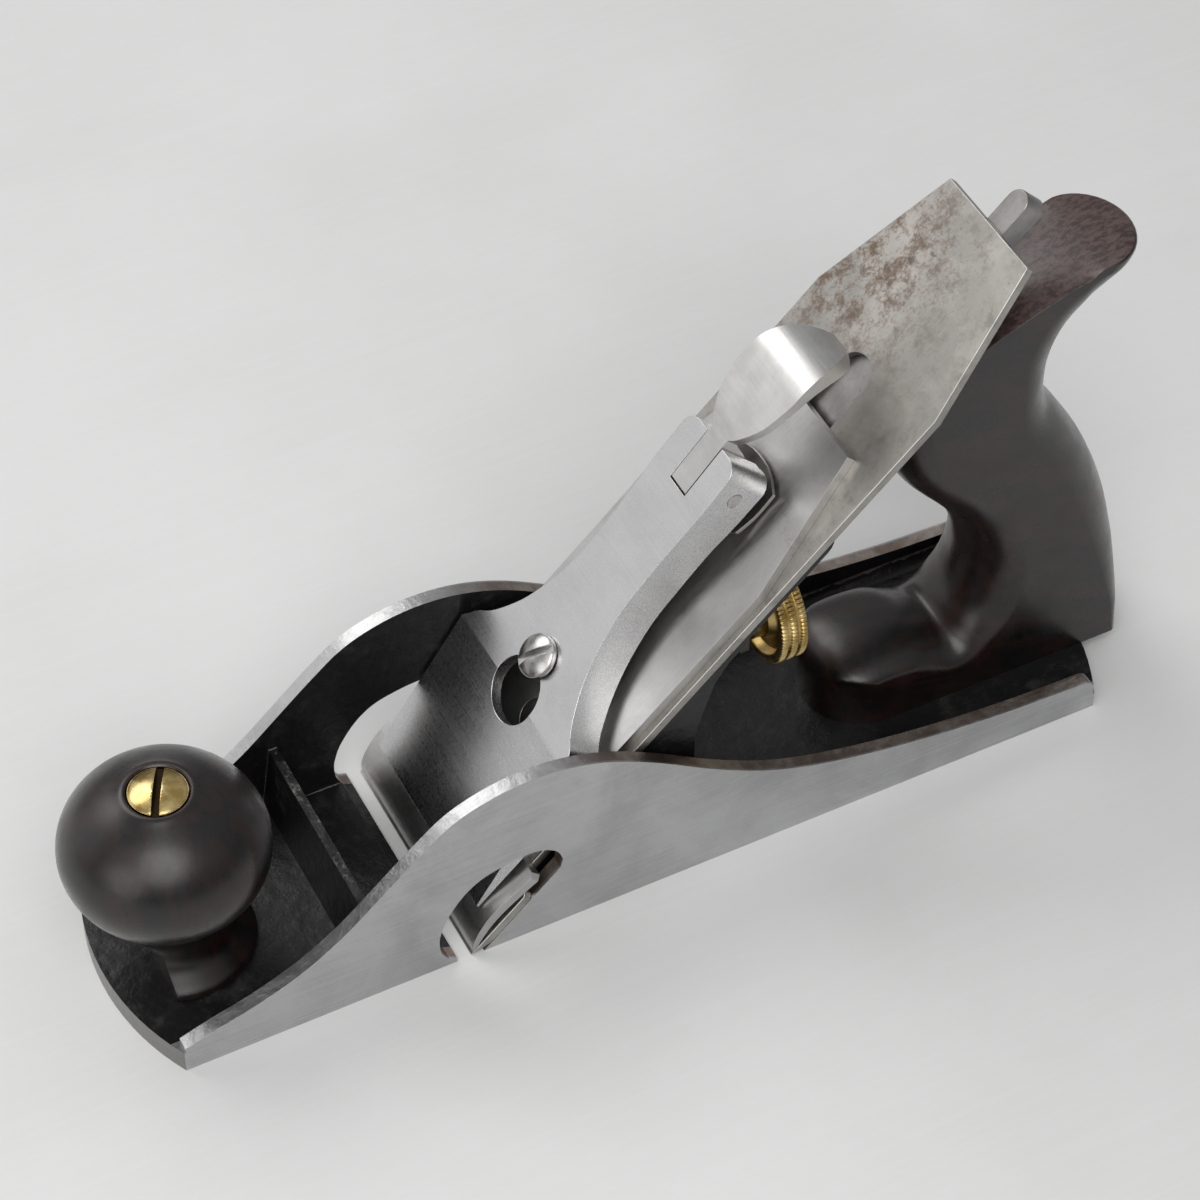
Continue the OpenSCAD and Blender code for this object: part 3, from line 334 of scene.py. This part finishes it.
def rosewood(name, turn, size):
    """Dark oiled rosewood: size is the grain's spread in mm before it is turned."""
    f = Finish(name, coat=0.6, coat_rough=0.32, specular=0.3)
    grain = f.noise(size, detail=6, rough=0.62, turn=turn, seed=2.0, distortion=1.2)
    fine = f.noise(tuple(v * 0.22 for v in size), detail=5, rough=0.7, turn=turn, seed=5.0)
    cloud = f.noise((17, 17, 17), detail=5, rough=0.6, seed=8.0, distortion=0.6)
    colour = f.mix(f.step(grain, 0.4, 0.64), (0.003, 0.0022, 0.0022), (0.012, 0.0046, 0.0036))
    colour = f.mix(f.times(f.step(fine, 0.5, 0.7), 0.6), colour, (0.003, 0.0024, 0.0024))
    colour = f.mix(f.times(f.step(cloud, 0.5, 0.72), 0.45), colour, (0.026, 0.0076, 0.0055))
    # Lighter on the upward faces of the horn's top: partly worn finish, partly a painted
    # highlight
    worn = f.times(f.step(f.axes(f.normal)[2], 0.75, 0.92),
                   f.step_mm(f.axes(f.place)[2], *HORN_TOP))
    colour = f.mix(f.times(worn, f.step(fine, 0.42, 0.6, 0.75, 0.2)), colour,
                   (0.11, 0.07, 0.064))
    pores = f.step(f.cells(0.9, seed=3.0), 0.16, 0.08)
    rub = f.noise((9, 9, 9), detail=7, rough=0.72, seed=11.0)
    dents = f.noise((5, 5, 5), detail=3, rough=0.5, seed=13.0)
    scratches = f.noise((0.25, 9, 6), detail=6, rough=0.75, turn=turn + 0.6, seed=17.0,
                        distortion=2.5)
    f.bump(dents, 0.14, 0.35)
    f.bump(fine, 0.03, 0.3)
    f.bump(scratches, 0.02, 0.25)
    f.bump(f.math("SUBTRACT", 1.0, pores), 0.03, 0.3)
    return f.done(colour, f.step(rub, 0.35, 0.68, 0.24, 0.46))


def brass(name, grime=0.0, slot_floor=None):
    """Polished brass. grime dulls it, and any grime at all darkens its hollows.

    Below slot_floor, a height in mm, and on upright faces the brass is painted nearly black, as
    painted shade.
    """
    f = Finish(name, metallic=1.0)
    cloud = f.noise((3.5, 3.5, 3.5), detail=5, rough=0.6, seed=1.0)
    lines = f.noise((6, 0.2, 0.2), detail=4, rough=0.7, seed=2.0)
    colour = f.mix(f.step(cloud, 0.36, 0.66), (0.5, 0.35, 0.12), (0.72, 0.56, 0.26))
    if grime:
        geometry = f.nodes.new("ShaderNodeNewGeometry")
        hollow = f.step(geometry.outputs["Pointiness"], 0.5, 0.44)
        colour = f.mix(f.times(hollow, 0.75), colour, (0.2, 0.13, 0.04))
    if slot_floor is not None:
        # Painted shade: the slot's floor and all upright faces are painted nearly black
        upright = f.step(f.axes(f.normal)[2], 0.6, 0.4)
        painted_slot_shade = f.step_mm(f.axes(f.place)[2], slot_floor + 0.2, slot_floor + 0.05)
        colour = f.mix(f.largest(upright, painted_slot_shade), colour, (0.03, 0.02, 0.01))
    f.bump(lines, 0.01, 0.4)
    return f.done(colour, f.step(cloud, 0.3, 0.7, 0.18 + grime, 0.32 + grime))


def floor_paint():
    """Pale painted board with faint brush marks and a slightly uneven tone."""
    f = Finish("floor_paint", specular=0.25)
    cloud = f.noise((150, 150, 150), detail=5, rough=0.55, seed=1.0)
    brush = f.noise((60, 1.2, 3), detail=4, rough=0.6, seed=4.0)
    colour = f.mix(f.step(cloud, 0.35, 0.65), (0.66, 0.668, 0.662), (0.71, 0.72, 0.716))
    colour = f.mix(f.times(f.step(brush, 0.4, 0.7), 0.12), colour, (0.76, 0.77, 0.78))
    f.bump(brush, 0.05, 0.2)
    return f.done(colour, 0.55)


# From the top of the knob's nut to the floor of its slot, in mm
NUT_SLOT_DEPTH = 1.9

finishes = {
    "body": body_metal(),
    "japan": japanned("frog_japan"),
    "lever_cap": ground_metal(
        "lever_cap_metal", (0.62, 0.62, 0.63), (0.54, 0.54, 0.55), (0.36, 0.35, 0.34),
        rough=(0.24, 0.32), turn=PITCH, grain=(0.35, 26, 0.35), blotch=20,
        stained=(0.62, 0.8), seed=2.0, relief=0.05),
    "cam": ground_metal(
        "cam_metal", (0.6, 0.595, 0.59), (0.5, 0.49, 0.48), (0.3, 0.28, 0.26),
        rough=(0.34, 0.46), turn=PITCH, grain=(0.4, 14, 0.4), blotch=9,
        stained=(0.6, 0.78), seed=4.0, relief=0.3),
    "iron": spotted_iron(),
    "cap_iron": ground_metal(
        "cap_iron_steel", (0.52, 0.515, 0.51), (0.4, 0.395, 0.39), (0.24, 0.22, 0.2),
        rough=(0.3, 0.46), turn=PITCH, grain=(24, 0.3, 0.3), blotch=16,
        stained=(0.58, 0.76), seed=8.0),
    "screws": ground_metal(
        "screw_steel", (0.55, 0.54, 0.53), (0.4, 0.39, 0.38), (0.2, 0.18, 0.16),
        rough=(0.22, 0.4), grain=(3, 3, 3), blotch=4, stained=(0.56, 0.7), seed=1.0),
    "dark_steel": ground_metal(
        "dark_steel", (0.2, 0.18, 0.165), (0.12, 0.105, 0.095), (0.06, 0.045, 0.038),
        rough=(0.36, 0.55), turn=PITCH, grain=(8, 2, 2), blotch=8, stained=(0.5, 0.68),
        seed=3.0),
    "spring": ground_metal(
        "spring_steel", (0.42, 0.4, 0.38), (0.3, 0.28, 0.26), (0.12, 0.1, 0.08),
        rough=(0.26, 0.42), turn=PITCH, grain=(20, 0.4, 0.4), blotch=8,
        stained=(0.55, 0.72), seed=5.0),
    "lateral": ground_metal(
        "lateral_steel", (0.36, 0.35, 0.345), (0.24, 0.23, 0.225), (0.1, 0.085, 0.075),
        rough=(0.28, 0.45), turn=PITCH, grain=(9, 3, 3), blotch=9, stained=(0.55, 0.72),
        seed=7.0),
    "brass": brass("brass"),
    "knob_brass": brass("knob_brass",
                        slot_floor=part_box("knob_nut")[1][2] / MM - NUT_SLOT_DEPTH),
    "wheel_brass": brass("wheel_brass", grime=0.12),
    "knob_wood": rosewood("knob_rosewood", 0.0, (5, 5, 24)),
    "tote_wood": rosewood("tote_rosewood", math.radians(-22), (30, 4.5, 5)),
    "floor": floor_paint(),
}

NODE_FINISH = {
    "body": "body", "frog": "japan", "knob": "knob_wood", "tote": "tote_wood",
    "knob_nut": "knob_brass", "tote_nut": "brass", "depth_hub": "brass", "depth_wheel": "brass",
    "lever_cap": "lever_cap", "cam_lever": "cam", "cam_pin": "screws",
    "lever_cap_screw": "screws", "cap_iron": "cap_iron", "cap_iron_screw": "dark_steel",
    "iron": "iron", "cap_spring": "spring", "spring_rivet": "spring", "yoke": "dark_steel",
    "yoke_pin": "screws", "lateral_lever": "lateral", "lateral_disc": "lateral",
    "disc_rivet": "lateral", "lateral_rivet": "dark_steel", "frog_screws": "screws",
    "frog_washers": "screws", "knob_stud": "screws", "tote_stud": "screws",
    "depth_stud": "screws",
}


# Modifiers that ease sharp edges

def smooth_group():
    """A geometry node group that shades a whole piece smooth."""
    group = bpy.data.node_groups.new("shade_smooth", "GeometryNodeTree")
    group.interface.new_socket("Geometry", in_out="INPUT", socket_type="NodeSocketGeometry")
    group.interface.new_socket("Geometry", in_out="OUTPUT", socket_type="NodeSocketGeometry")
    start = group.nodes.new("NodeGroupInput")
    shade = group.nodes.new("GeometryNodeSetShadeSmooth")
    end = group.nodes.new("NodeGroupOutput")
    group.links.new(start.outputs[0], shade.inputs["Geometry"])
    group.links.new(shade.outputs["Geometry"], end.inputs[0])
    return group


SMOOTH = smooth_group()


# Faces that meet at less than this many degrees are joined into one before the bevel
FLAT_ANGLE = 0.4


def round_edges(obj, width, angle):
    """Bevels, by width in mm, the edges that turn by more than angle in degrees."""
    bevel = obj.modifiers.new("bevel", "BEVEL")
    bevel.width = width * MM
    bevel.segments = 2
    bevel.limit_method = "ANGLE"
    bevel.angle_limit = math.radians(angle)
    normals = obj.modifiers.new("normals", "WEIGHTED_NORMAL")
    normals.weight = 50


def ease(obj, width):
    """Welds, smooths and bevels a piece with modifiers, and leaves its mesh alone."""
    weld = obj.modifiers.new("weld", "WELD")
    weld.merge_threshold = 1e-6
    plane = obj.modifiers.new("plane", "DECIMATE")
    plane.decimate_type = "DISSOLVE"
    plane.angle_limit = math.radians(FLAT_ANGLE)
    shade = obj.modifiers.new("shade", "NODES")
    shade.node_group = SMOOTH
    round_edges(obj, width, 30)


# Width in mm of the eased edges of each CAD piece that has them
EASE = {"body": 0.35, "frog": 0.6, "lever_cap": 0.45, "cam_lever": 0.6, "iron": 0.2,
        "cap_iron": 0.25, "lateral_lever": 0.35, "yoke": 0.3, "cap_spring": 0.12,
        "knob_nut": 0.15, "tote_nut": 0.15, "lever_cap_screw": 0.12, "frog_screws": 0.15,
        "cap_iron_screw": 0.15, "depth_hub": 0.15}

for node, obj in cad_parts.items():
    material = finishes[NODE_FINISH[node]]
    if not obj.material_slots:
        obj.data.materials.append(material)
    for slot in obj.material_slots:
        slot.material = material
    if node in EASE:
        ease(obj, EASE[node])


# Pieces that stand for CAD solids

def mesh_object(name, verts, faces, material):
    """A new object from verts in metres."""
    mesh = bpy.data.meshes.new(name)
    mesh.from_pydata(verts, [], faces)
    mesh.materials.append(material)
    obj = bpy.data.objects.new(name, mesh)
    bpy.context.scene.collection.objects.link(obj)
    return obj


def smooth(points, steps):
    """Curve through the points, with the given number of steps between each pair."""
    last = len(points) - 1
    curve = []
    for i in range(last):
        around = points[max(i - 1, 0)], points[i], points[i + 1], points[min(i + 2, last)]
        for k in range(steps):
            t = k / steps
            curve.append(tuple(
                0.5 * (2 * b + (c - a) * t + (2 * a - 5 * b + 4 * c - d) * t * t
                       + (3 * b - a - 3 * c + d) * t ** 3) for a, b, c, d in zip(*around)))
    return curve + [tuple(points[-1])]


def lathe(profile, steps, relief=None):
    """Turns a closed profile of (radius, height) in mm round Z, as verts and faces.

    relief(point, step) gives how much is taken off the radius there.
    """
    count = len(profile)
    verts = []
    faces = []
    for i in range(steps):
        angle = 2 * math.pi * i / steps
        for k, (radius, height) in enumerate(profile):
            if relief is not None:
                radius -= relief(k, i)
            verts.append((radius * math.cos(angle), radius * math.sin(angle), height))
        for k in range(count):
            a = i * count + k
            b = i * count + (k + 1) % count
            c = (i + 1) % steps * count + (k + 1) % count
            d = (i + 1) % steps * count + k
            faces.append((a, d, c, b))
    return verts, faces


def prism(outline, half):
    """An outline of (x, z) in mm pushed out to both sides along Y, as verts and faces."""
    count = len(outline)
    verts = [(x, y, z) for y in (-half, half) for x, z in outline]
    faces = [(i, (i + 1) % count, count + (i + 1) % count, count + i) for i in range(count)]
    faces += [tuple(range(count)), tuple(range(count, 2 * count))]
    return verts, faces


def solid(name, verts, faces, material, place):
    """A closed piece from verts in mm, moved to its place, with clean outward faces."""
    obj = mesh_object(name, [place @ (Vector(v) * MM) for v in verts], faces, material)
    bm = bmesh.new()
    bm.from_mesh(obj.data)
    bmesh.ops.remove_doubles(bm, verts=bm.verts, dist=1e-7)
    bmesh.ops.dissolve_degenerate(bm, dist=1e-7, edges=bm.edges)
    bmesh.ops.recalc_face_normals(bm, faces=bm.faces)
    for face in bm.faces:
        face.smooth = True
    bm.to_mesh(obj.data)
    bm.free()
    return obj


def stands_for(obj, node, body):
    """Puts a piece on its body, in place of a CAD node."""
    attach(obj, body)
    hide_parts(node)


def cut_away(obj, cutter):
    """Cuts one piece out of another and deletes the cutter."""
    cut = obj.modifiers.new("cut", "BOOLEAN")
    cut.object = cutter
    cut.solver = "EXACT"
    bpy.context.view_layer.update()
    deps = bpy.context.evaluated_depsgraph_get()
    mesh = bpy.data.meshes.new_from_object(obj.evaluated_get(deps))
    obj.modifiers.clear()
    obj.data = mesh
    bpy.data.objects.remove(cutter)


# Hole in the wood for the threaded barrel of a brass nut, in mm
BARREL_R = 4.6
BARREL_LEN = 14


def turned_knob():
    """Ball on a drawn-in waist and a spreading foot that is cut flat towards the toe."""
    low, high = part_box("knob")
    top = (high[2] - low[2]) / MM
    ball_r = (high[0] - low[0]) / 2 / MM
    ball_h = 17.0
    ball_z = top - 16.9
    waist_r = 11.55
    foot_r = 16.3
    flat = 5.9
    rod_r = 3.1
    nut_r = 6.25
    nut_seat = top - 2.1
    ball = [(ball_r * math.cos(math.radians(a)), ball_z + ball_h * math.sin(math.radians(a)))
            for a in range(-50, 61, 6)]
    foot = [(foot_r, 0.5), (foot_r, 1.7), (foot_r - 1.7, 3.5), (foot_r - 4, 6.2),
            (waist_r, 9.4), (waist_r + 0.1, 12.2)]
    crown = [(8.6, top - 1.2), (7.3, top - 0.55), (6.6, top - 0.5)]
    bore = [(nut_r, top - 0.8), (nut_r, nut_seat), (BARREL_R, nut_seat),
            (BARREL_R, nut_seat - BARREL_LEN), (rod_r, nut_seat - BARREL_LEN)]
    profile = [(rod_r, 0), (foot_r - 0.5, 0)] + smooth(foot + ball + crown, 4) + bore
    place = Matrix.Translation(((low[0] + high[0]) / 2, 0, low[2]))
    obj = solid("turned_knob", *lathe(profile, 144), finishes["knob_wood"], place)
    toe_side = [(flat, -1), (2 * foot_r, -1), (2 * foot_r, 14), (flat + 6, 14), (flat, 8.5)]
    cut_away(obj, solid("toe_side", *prism(toe_side, 20), finishes["knob_wood"], place))
    round_edges(obj, 0.2, 35)
    stands_for(obj, "knob", "root")


def knurled_wheel():
    """Brass wheel with three knurled bands, a recessed face and a raised middle."""
    low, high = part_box("depth_wheel")
    radius = (high[2] - low[2]) / 2 / MM
    thick = (high[0] - low[0]) / MM
    bore = 5.04
    recess = 2.0
    teeth = 84
    tooth_steps = 4
    knurl = 0.42
    groove = 0.5
    band = (thick - 2 * groove) / 3
    band_depth = 0.75
    lap = 0.02
    rim_r = radius - 2.4
    profile = [(bore, 0.05), (6.6, 0.05), (7.4, recess), (rim_r - 0.4, recess), (rim_r, 0.35),
               (rim_r + 0.4, 0.0)]
    knurled = set()
    for k in range(3):
        start = k * (band + groove)
        end = start + band
        profile.append((radius - band_depth, start if k == 0 else start - lap))
        for share, worn in ((0.16, 0.08), (0.5, 0.0), (0.84, 0.08)):
            knurled.add(len(profile))
            profile.append((radius - worn, start + share * band))
        profile.append((radius - band_depth, end if k == 2 else end + lap))
    profile.append((bore, thick))

    def relief(point, step):
        if point not in knurled:
            return 0.0
        return knurl * (0.0, 0.55, 1.0, 0.55)[step % tooth_steps]

    place = (Matrix.Translation((high[0], 0, (low[2] + high[2]) / 2))
             @ Matrix.Rotation(-math.pi / 2, 4, "Y"))
    verts, faces = lathe(profile, teeth * tooth_steps, relief)
    obj = solid("knurled_wheel", verts, faces, finishes["wheel_brass"], place)
    round_edges(obj, 0.06, 50)
    stands_for(obj, "depth_wheel", "depth_wheel")


# Side outline of the tote as (forward of the heel's corner, up, edge rounding) in mm
TOTE_OUTLINE = [
    (56.2, 0, 3.5), (56.4, 6, 4), (55.2, 11.5, 4), (51.4, 15.5, 4.5), (43.6, 17, 5),
    (35.6, 16.5, 5.5), (29.6, 14.2, 6.5), (26.2, 13.4, 7), (23.9, 16.4, 7.5),
    (21.7, 20.6, 8.5), (20.6, 26.3, 9.5), (20.4, 31.4, 9.5), (21.4, 35.9, 9.5),
    (23.5, 41.4, 9.5), (26.3, 46.3, 9), (29.8, 50.9, 9), (33.7, 55.5, 8.5), (37.6, 60.5, 8),
    (41.1, 67, 7.5), (43.3, 75, 7), (43.8, 82, 6.5), (42.4, 87.7, 5), (38, 92.6, 3.5),
    (32.4, 97.2, 2), (26.2, 100.9, 0.9), (16.1, 105.1, 0.8), (7.7, 108, 0.8),
    (0.7, 109.9, 0.8), (-5.3, 110.9, 0.8), (-9.5, 111.2, 0.8), (-11.4, 110.2, 1),
    (-10.9, 107.9, 2.4), (-8.7, 105, 4.7), (-4.8, 102, 7.2), (0.2, 98.6, 9.2),
    (4.2, 94.2, 10), (6.6, 88.4, 10), (7.4, 82, 9), (6.6, 75, 9), (1.6, 67, 9.5),
    (-4.9, 56, 9.5), (-10.4, 43, 9.5), (-13.9, 30, 8.5), (-15.7, 19, 7), (-16.5, 9, 5),
    (-16.2, 0, 3.5)]
# The horn ends in a round tongue: above HORN_ABOVE and behind HORN_FROM its sides stop
# at HORN_SIDE, and its middle HORN_ROUND further back
HORN_ABOVE = 80
HORN_FROM = 4
HORN_SIDE = -1.9
HORN_ROUND = 9.5
# How far the tote's rod leans forward
ROD_LEAN = math.radians(19)


def carved_tote():
    """Rounded rosewood grip, lofted in rings from one flat side to the other."""
    low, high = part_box("tote")
    half = (high[1] - low[1]) / 2 / MM
    narrowing = 0.0195
    front_x = 56.4
    back_x = -16.5
    back_round = 3.5
    origin = Matrix.Translation((high[0] - front_x * MM, 0, low[2]))
    line = smooth(TOTE_OUTLINE, 5)
    count = len(line)

    def horn_end(angle):
        """How far behind HORN_FROM, as a negative number, the horn ends on a ring."""
        return HORN_SIDE - HORN_ROUND * math.cos(angle) - HORN_FROM

    def ring_point(i, angle):
        """Point i of a ring: angle 0 is the widest outline, in the middle of the tote."""
        here = Vector(line[i][:2])
        along = (Vector(line[min(i + 1, count - 1)][:2]) - Vector(line[max(i - 1, 0)][:2]))
        inward = Vector((-along.y, along.x)).normalized()
        drawn = line[i][2] * (1 - math.cos(angle))
        z = 0.0 if here.y < 0.01 else max(here.y + drawn * inward.y, 0.0)
        y = math.sin(angle) * (half - narrowing * z)
        round_front = front_x - half + math.sqrt(max(half * half - y * y, 0.0))
        round_back = back_x + back_round * (1 - math.sqrt(max(1 - y * y / half / half, 0.0)))
        x = here.x + drawn * inward.x
        if here.y > HORN_ABOVE and x < HORN_FROM:
            x = HORN_FROM + (x - HORN_FROM) * horn_end(angle) / horn_end(0)
        return min(max(x, round_back), round_front), y, z

    angles = [math.radians(a) for a in (-90, -84, -77, -69, -60, -50, -40, -30, -20, -10, 0,
                                        10, 20, 30, 40, 50, 60, 69, 77, 84, 90)]
    verts = [ring_point(i, angle) for angle in angles for i in range(count)]
    faces = []
    for r in range(len(angles) - 1):
        for i in range(count):
            j = (i + 1) % count
            faces.append((r * count + i, r * count + j, (r + 1) * count + j,
                          (r + 1) * count + i))
    last = (len(angles) - 1) * count
    faces.append(tuple(range(count)))
    faces.append(tuple(last + i for i in range(count)))
    obj = solid("carved_tote", verts, faces, finishes["tote_wood"], origin)

    # Holes for the rod with its nut, and for the boss under the tote
    rod_x = -0.4
    rod = (origin @ Matrix.Translation((rod_x * MM, 0, -2.6 * MM))
           @ Matrix.Rotation(ROD_LEAN, 4, "Y"))
    rod_r = 3.2
    nut_r = 6.35
    nut_at = 100.5
    barrel_at = nut_at - BARREL_LEN
    holes = [(0, -6), (rod_r, -6), (rod_r, barrel_at), (BARREL_R, barrel_at),
             (BARREL_R, nut_at), (nut_r, nut_at), (nut_r, 140), (0, 140)]
    cut_away(obj, solid("rod_holes", *lathe(holes, 64), finishes["tote_wood"], rod))
    boss_r = 6.4
    boss_top = 5.5
    boss = [(0, -8), (boss_r, -8), (boss_r, boss_top), (0, boss_top)]
    boss_at = origin @ Matrix.Translation((rod_x * MM, 0, 0))
    cut_away(obj, solid("boss_hole", *lathe(boss, 64), finishes["tote_wood"], boss_at))
    round_edges(obj, 0.3, 40)
    stands_for(obj, "tote", "root")


turned_knob()
knurled_wheel()
carved_tote()


# Stage, light and camera

FLOOR_HALF = 3.0
floor = mesh_object("floor", [(-FLOOR_HALF, -FLOOR_HALF, 0), (FLOOR_HALF, -FLOOR_HALF, 0),
                              (FLOOR_HALF, FLOOR_HALF, 0), (-FLOOR_HALF, FLOOR_HALF, 0)],
                    [(0, 1, 2, 3)], finishes["floor"])


HORIZON = (0.5, 0.505, 0.52, 1)
ZENITH = (1.15, 1.155, 1.17, 1)
SKY_STRENGTH = 0.36


def sky():
    """A pale overcast sky, darker towards the horizon."""
    world = bpy.data.worlds.new("sky")
    bpy.context.scene.world = world
    world.use_nodes = True
    nodes = world.node_tree.nodes
    links = world.node_tree.links
    coords = nodes.new("ShaderNodeTexCoord")
    axes = nodes.new("ShaderNodeSeparateXYZ")
    links.new(coords.outputs["Generated"], axes.inputs[0])
    ramp = nodes.new("ShaderNodeValToRGB")
    ramp.color_ramp.interpolation = "EASE"
    ramp.color_ramp.elements[0].position = 0.0
    ramp.color_ramp.elements[0].color = HORIZON
    ramp.color_ramp.elements[1].position = 0.7
    ramp.color_ramp.elements[1].color = ZENITH
    links.new(axes.outputs["Z"], ramp.inputs["Fac"])
    background = nodes["Background"]
    background.inputs["Strength"].default_value = SKY_STRENGTH
    links.new(ramp.outputs["Color"], background.inputs["Color"])


LAMP_COLOUR = (1.0, 0.99, 0.97)
# Name, place, where it points, how wide it is in m, and power in W
LAMPS = (
    ("window", (0.55, -1.35, 1.6), (0, 0, 0), 1.5, 16),
    ("far_window", (1.4, 0.6, 0.62), (0, 0, 0.03), 1.1, 5),
    ("front_window", (0.45, 0.95, 1.3), (0, 0, 0.03), 1.3, 13.5),
    ("toe_window", (1.2, -0.95, 0.55), (0, 0, 0.05), 1.2, 2.2),
)


def soft_light(name, place, target, size, power):
    """A round area lamp that points at target."""
    data = bpy.data.lights.new(name, "AREA")
    data.shape = "DISK"
    data.size = size
    data.energy = power
    data.color = LAMP_COLOUR
    lamp = bpy.data.objects.new(name, data)
    bpy.context.scene.collection.objects.link(lamp)
    lamp.location = place
    aim = Vector(target) - Vector(place)
    lamp.rotation_euler = aim.to_track_quat("-Z", "Y").to_euler()


sky()
for lamp_values in LAMPS:
    soft_light(*lamp_values)

# The camera that was fitted to the photograph
CAMERA_TARGET = Vector((-7.982, -15.505, 40.0)) * MM
CAMERA_DISTANCE = 777.01 * MM
CAMERA_AZIMUTH = math.radians(152.534)
CAMERA_ELEVATION = math.radians(47.897)
CAMERA_ROLL = math.radians(0.535)
CAMERA_LENS = 113.71
CAMERA_SENSOR = 36

back = Vector((math.sin(CAMERA_AZIMUTH) * math.cos(CAMERA_ELEVATION),
               -math.cos(CAMERA_AZIMUTH) * math.cos(CAMERA_ELEVATION),
               math.sin(CAMERA_ELEVATION)))
right = (-back).cross(Vector((0, 0, 1))).normalized()
up = right.cross(-back)
right_rolled = right * math.cos(CAMERA_ROLL) + up * math.sin(CAMERA_ROLL)
up_rolled = up * math.cos(CAMERA_ROLL) - right * math.sin(CAMERA_ROLL)
camera_data = bpy.data.cameras.new("camera")
camera_data.lens = CAMERA_LENS
camera_data.sensor_width = CAMERA_SENSOR
camera_data.clip_start = 0.01
camera_data.clip_end = 50
camera = bpy.data.objects.new("camera", camera_data)
bpy.context.scene.collection.objects.link(camera)
turned = Matrix((right_rolled, up_rolled, back)).transposed().to_4x4()
camera.matrix_world = Matrix.Translation(CAMERA_TARGET + back * CAMERA_DISTANCE) @ turned
bpy.context.scene.camera = camera
bpy.context.scene.view_settings.view_transform = "Standard"
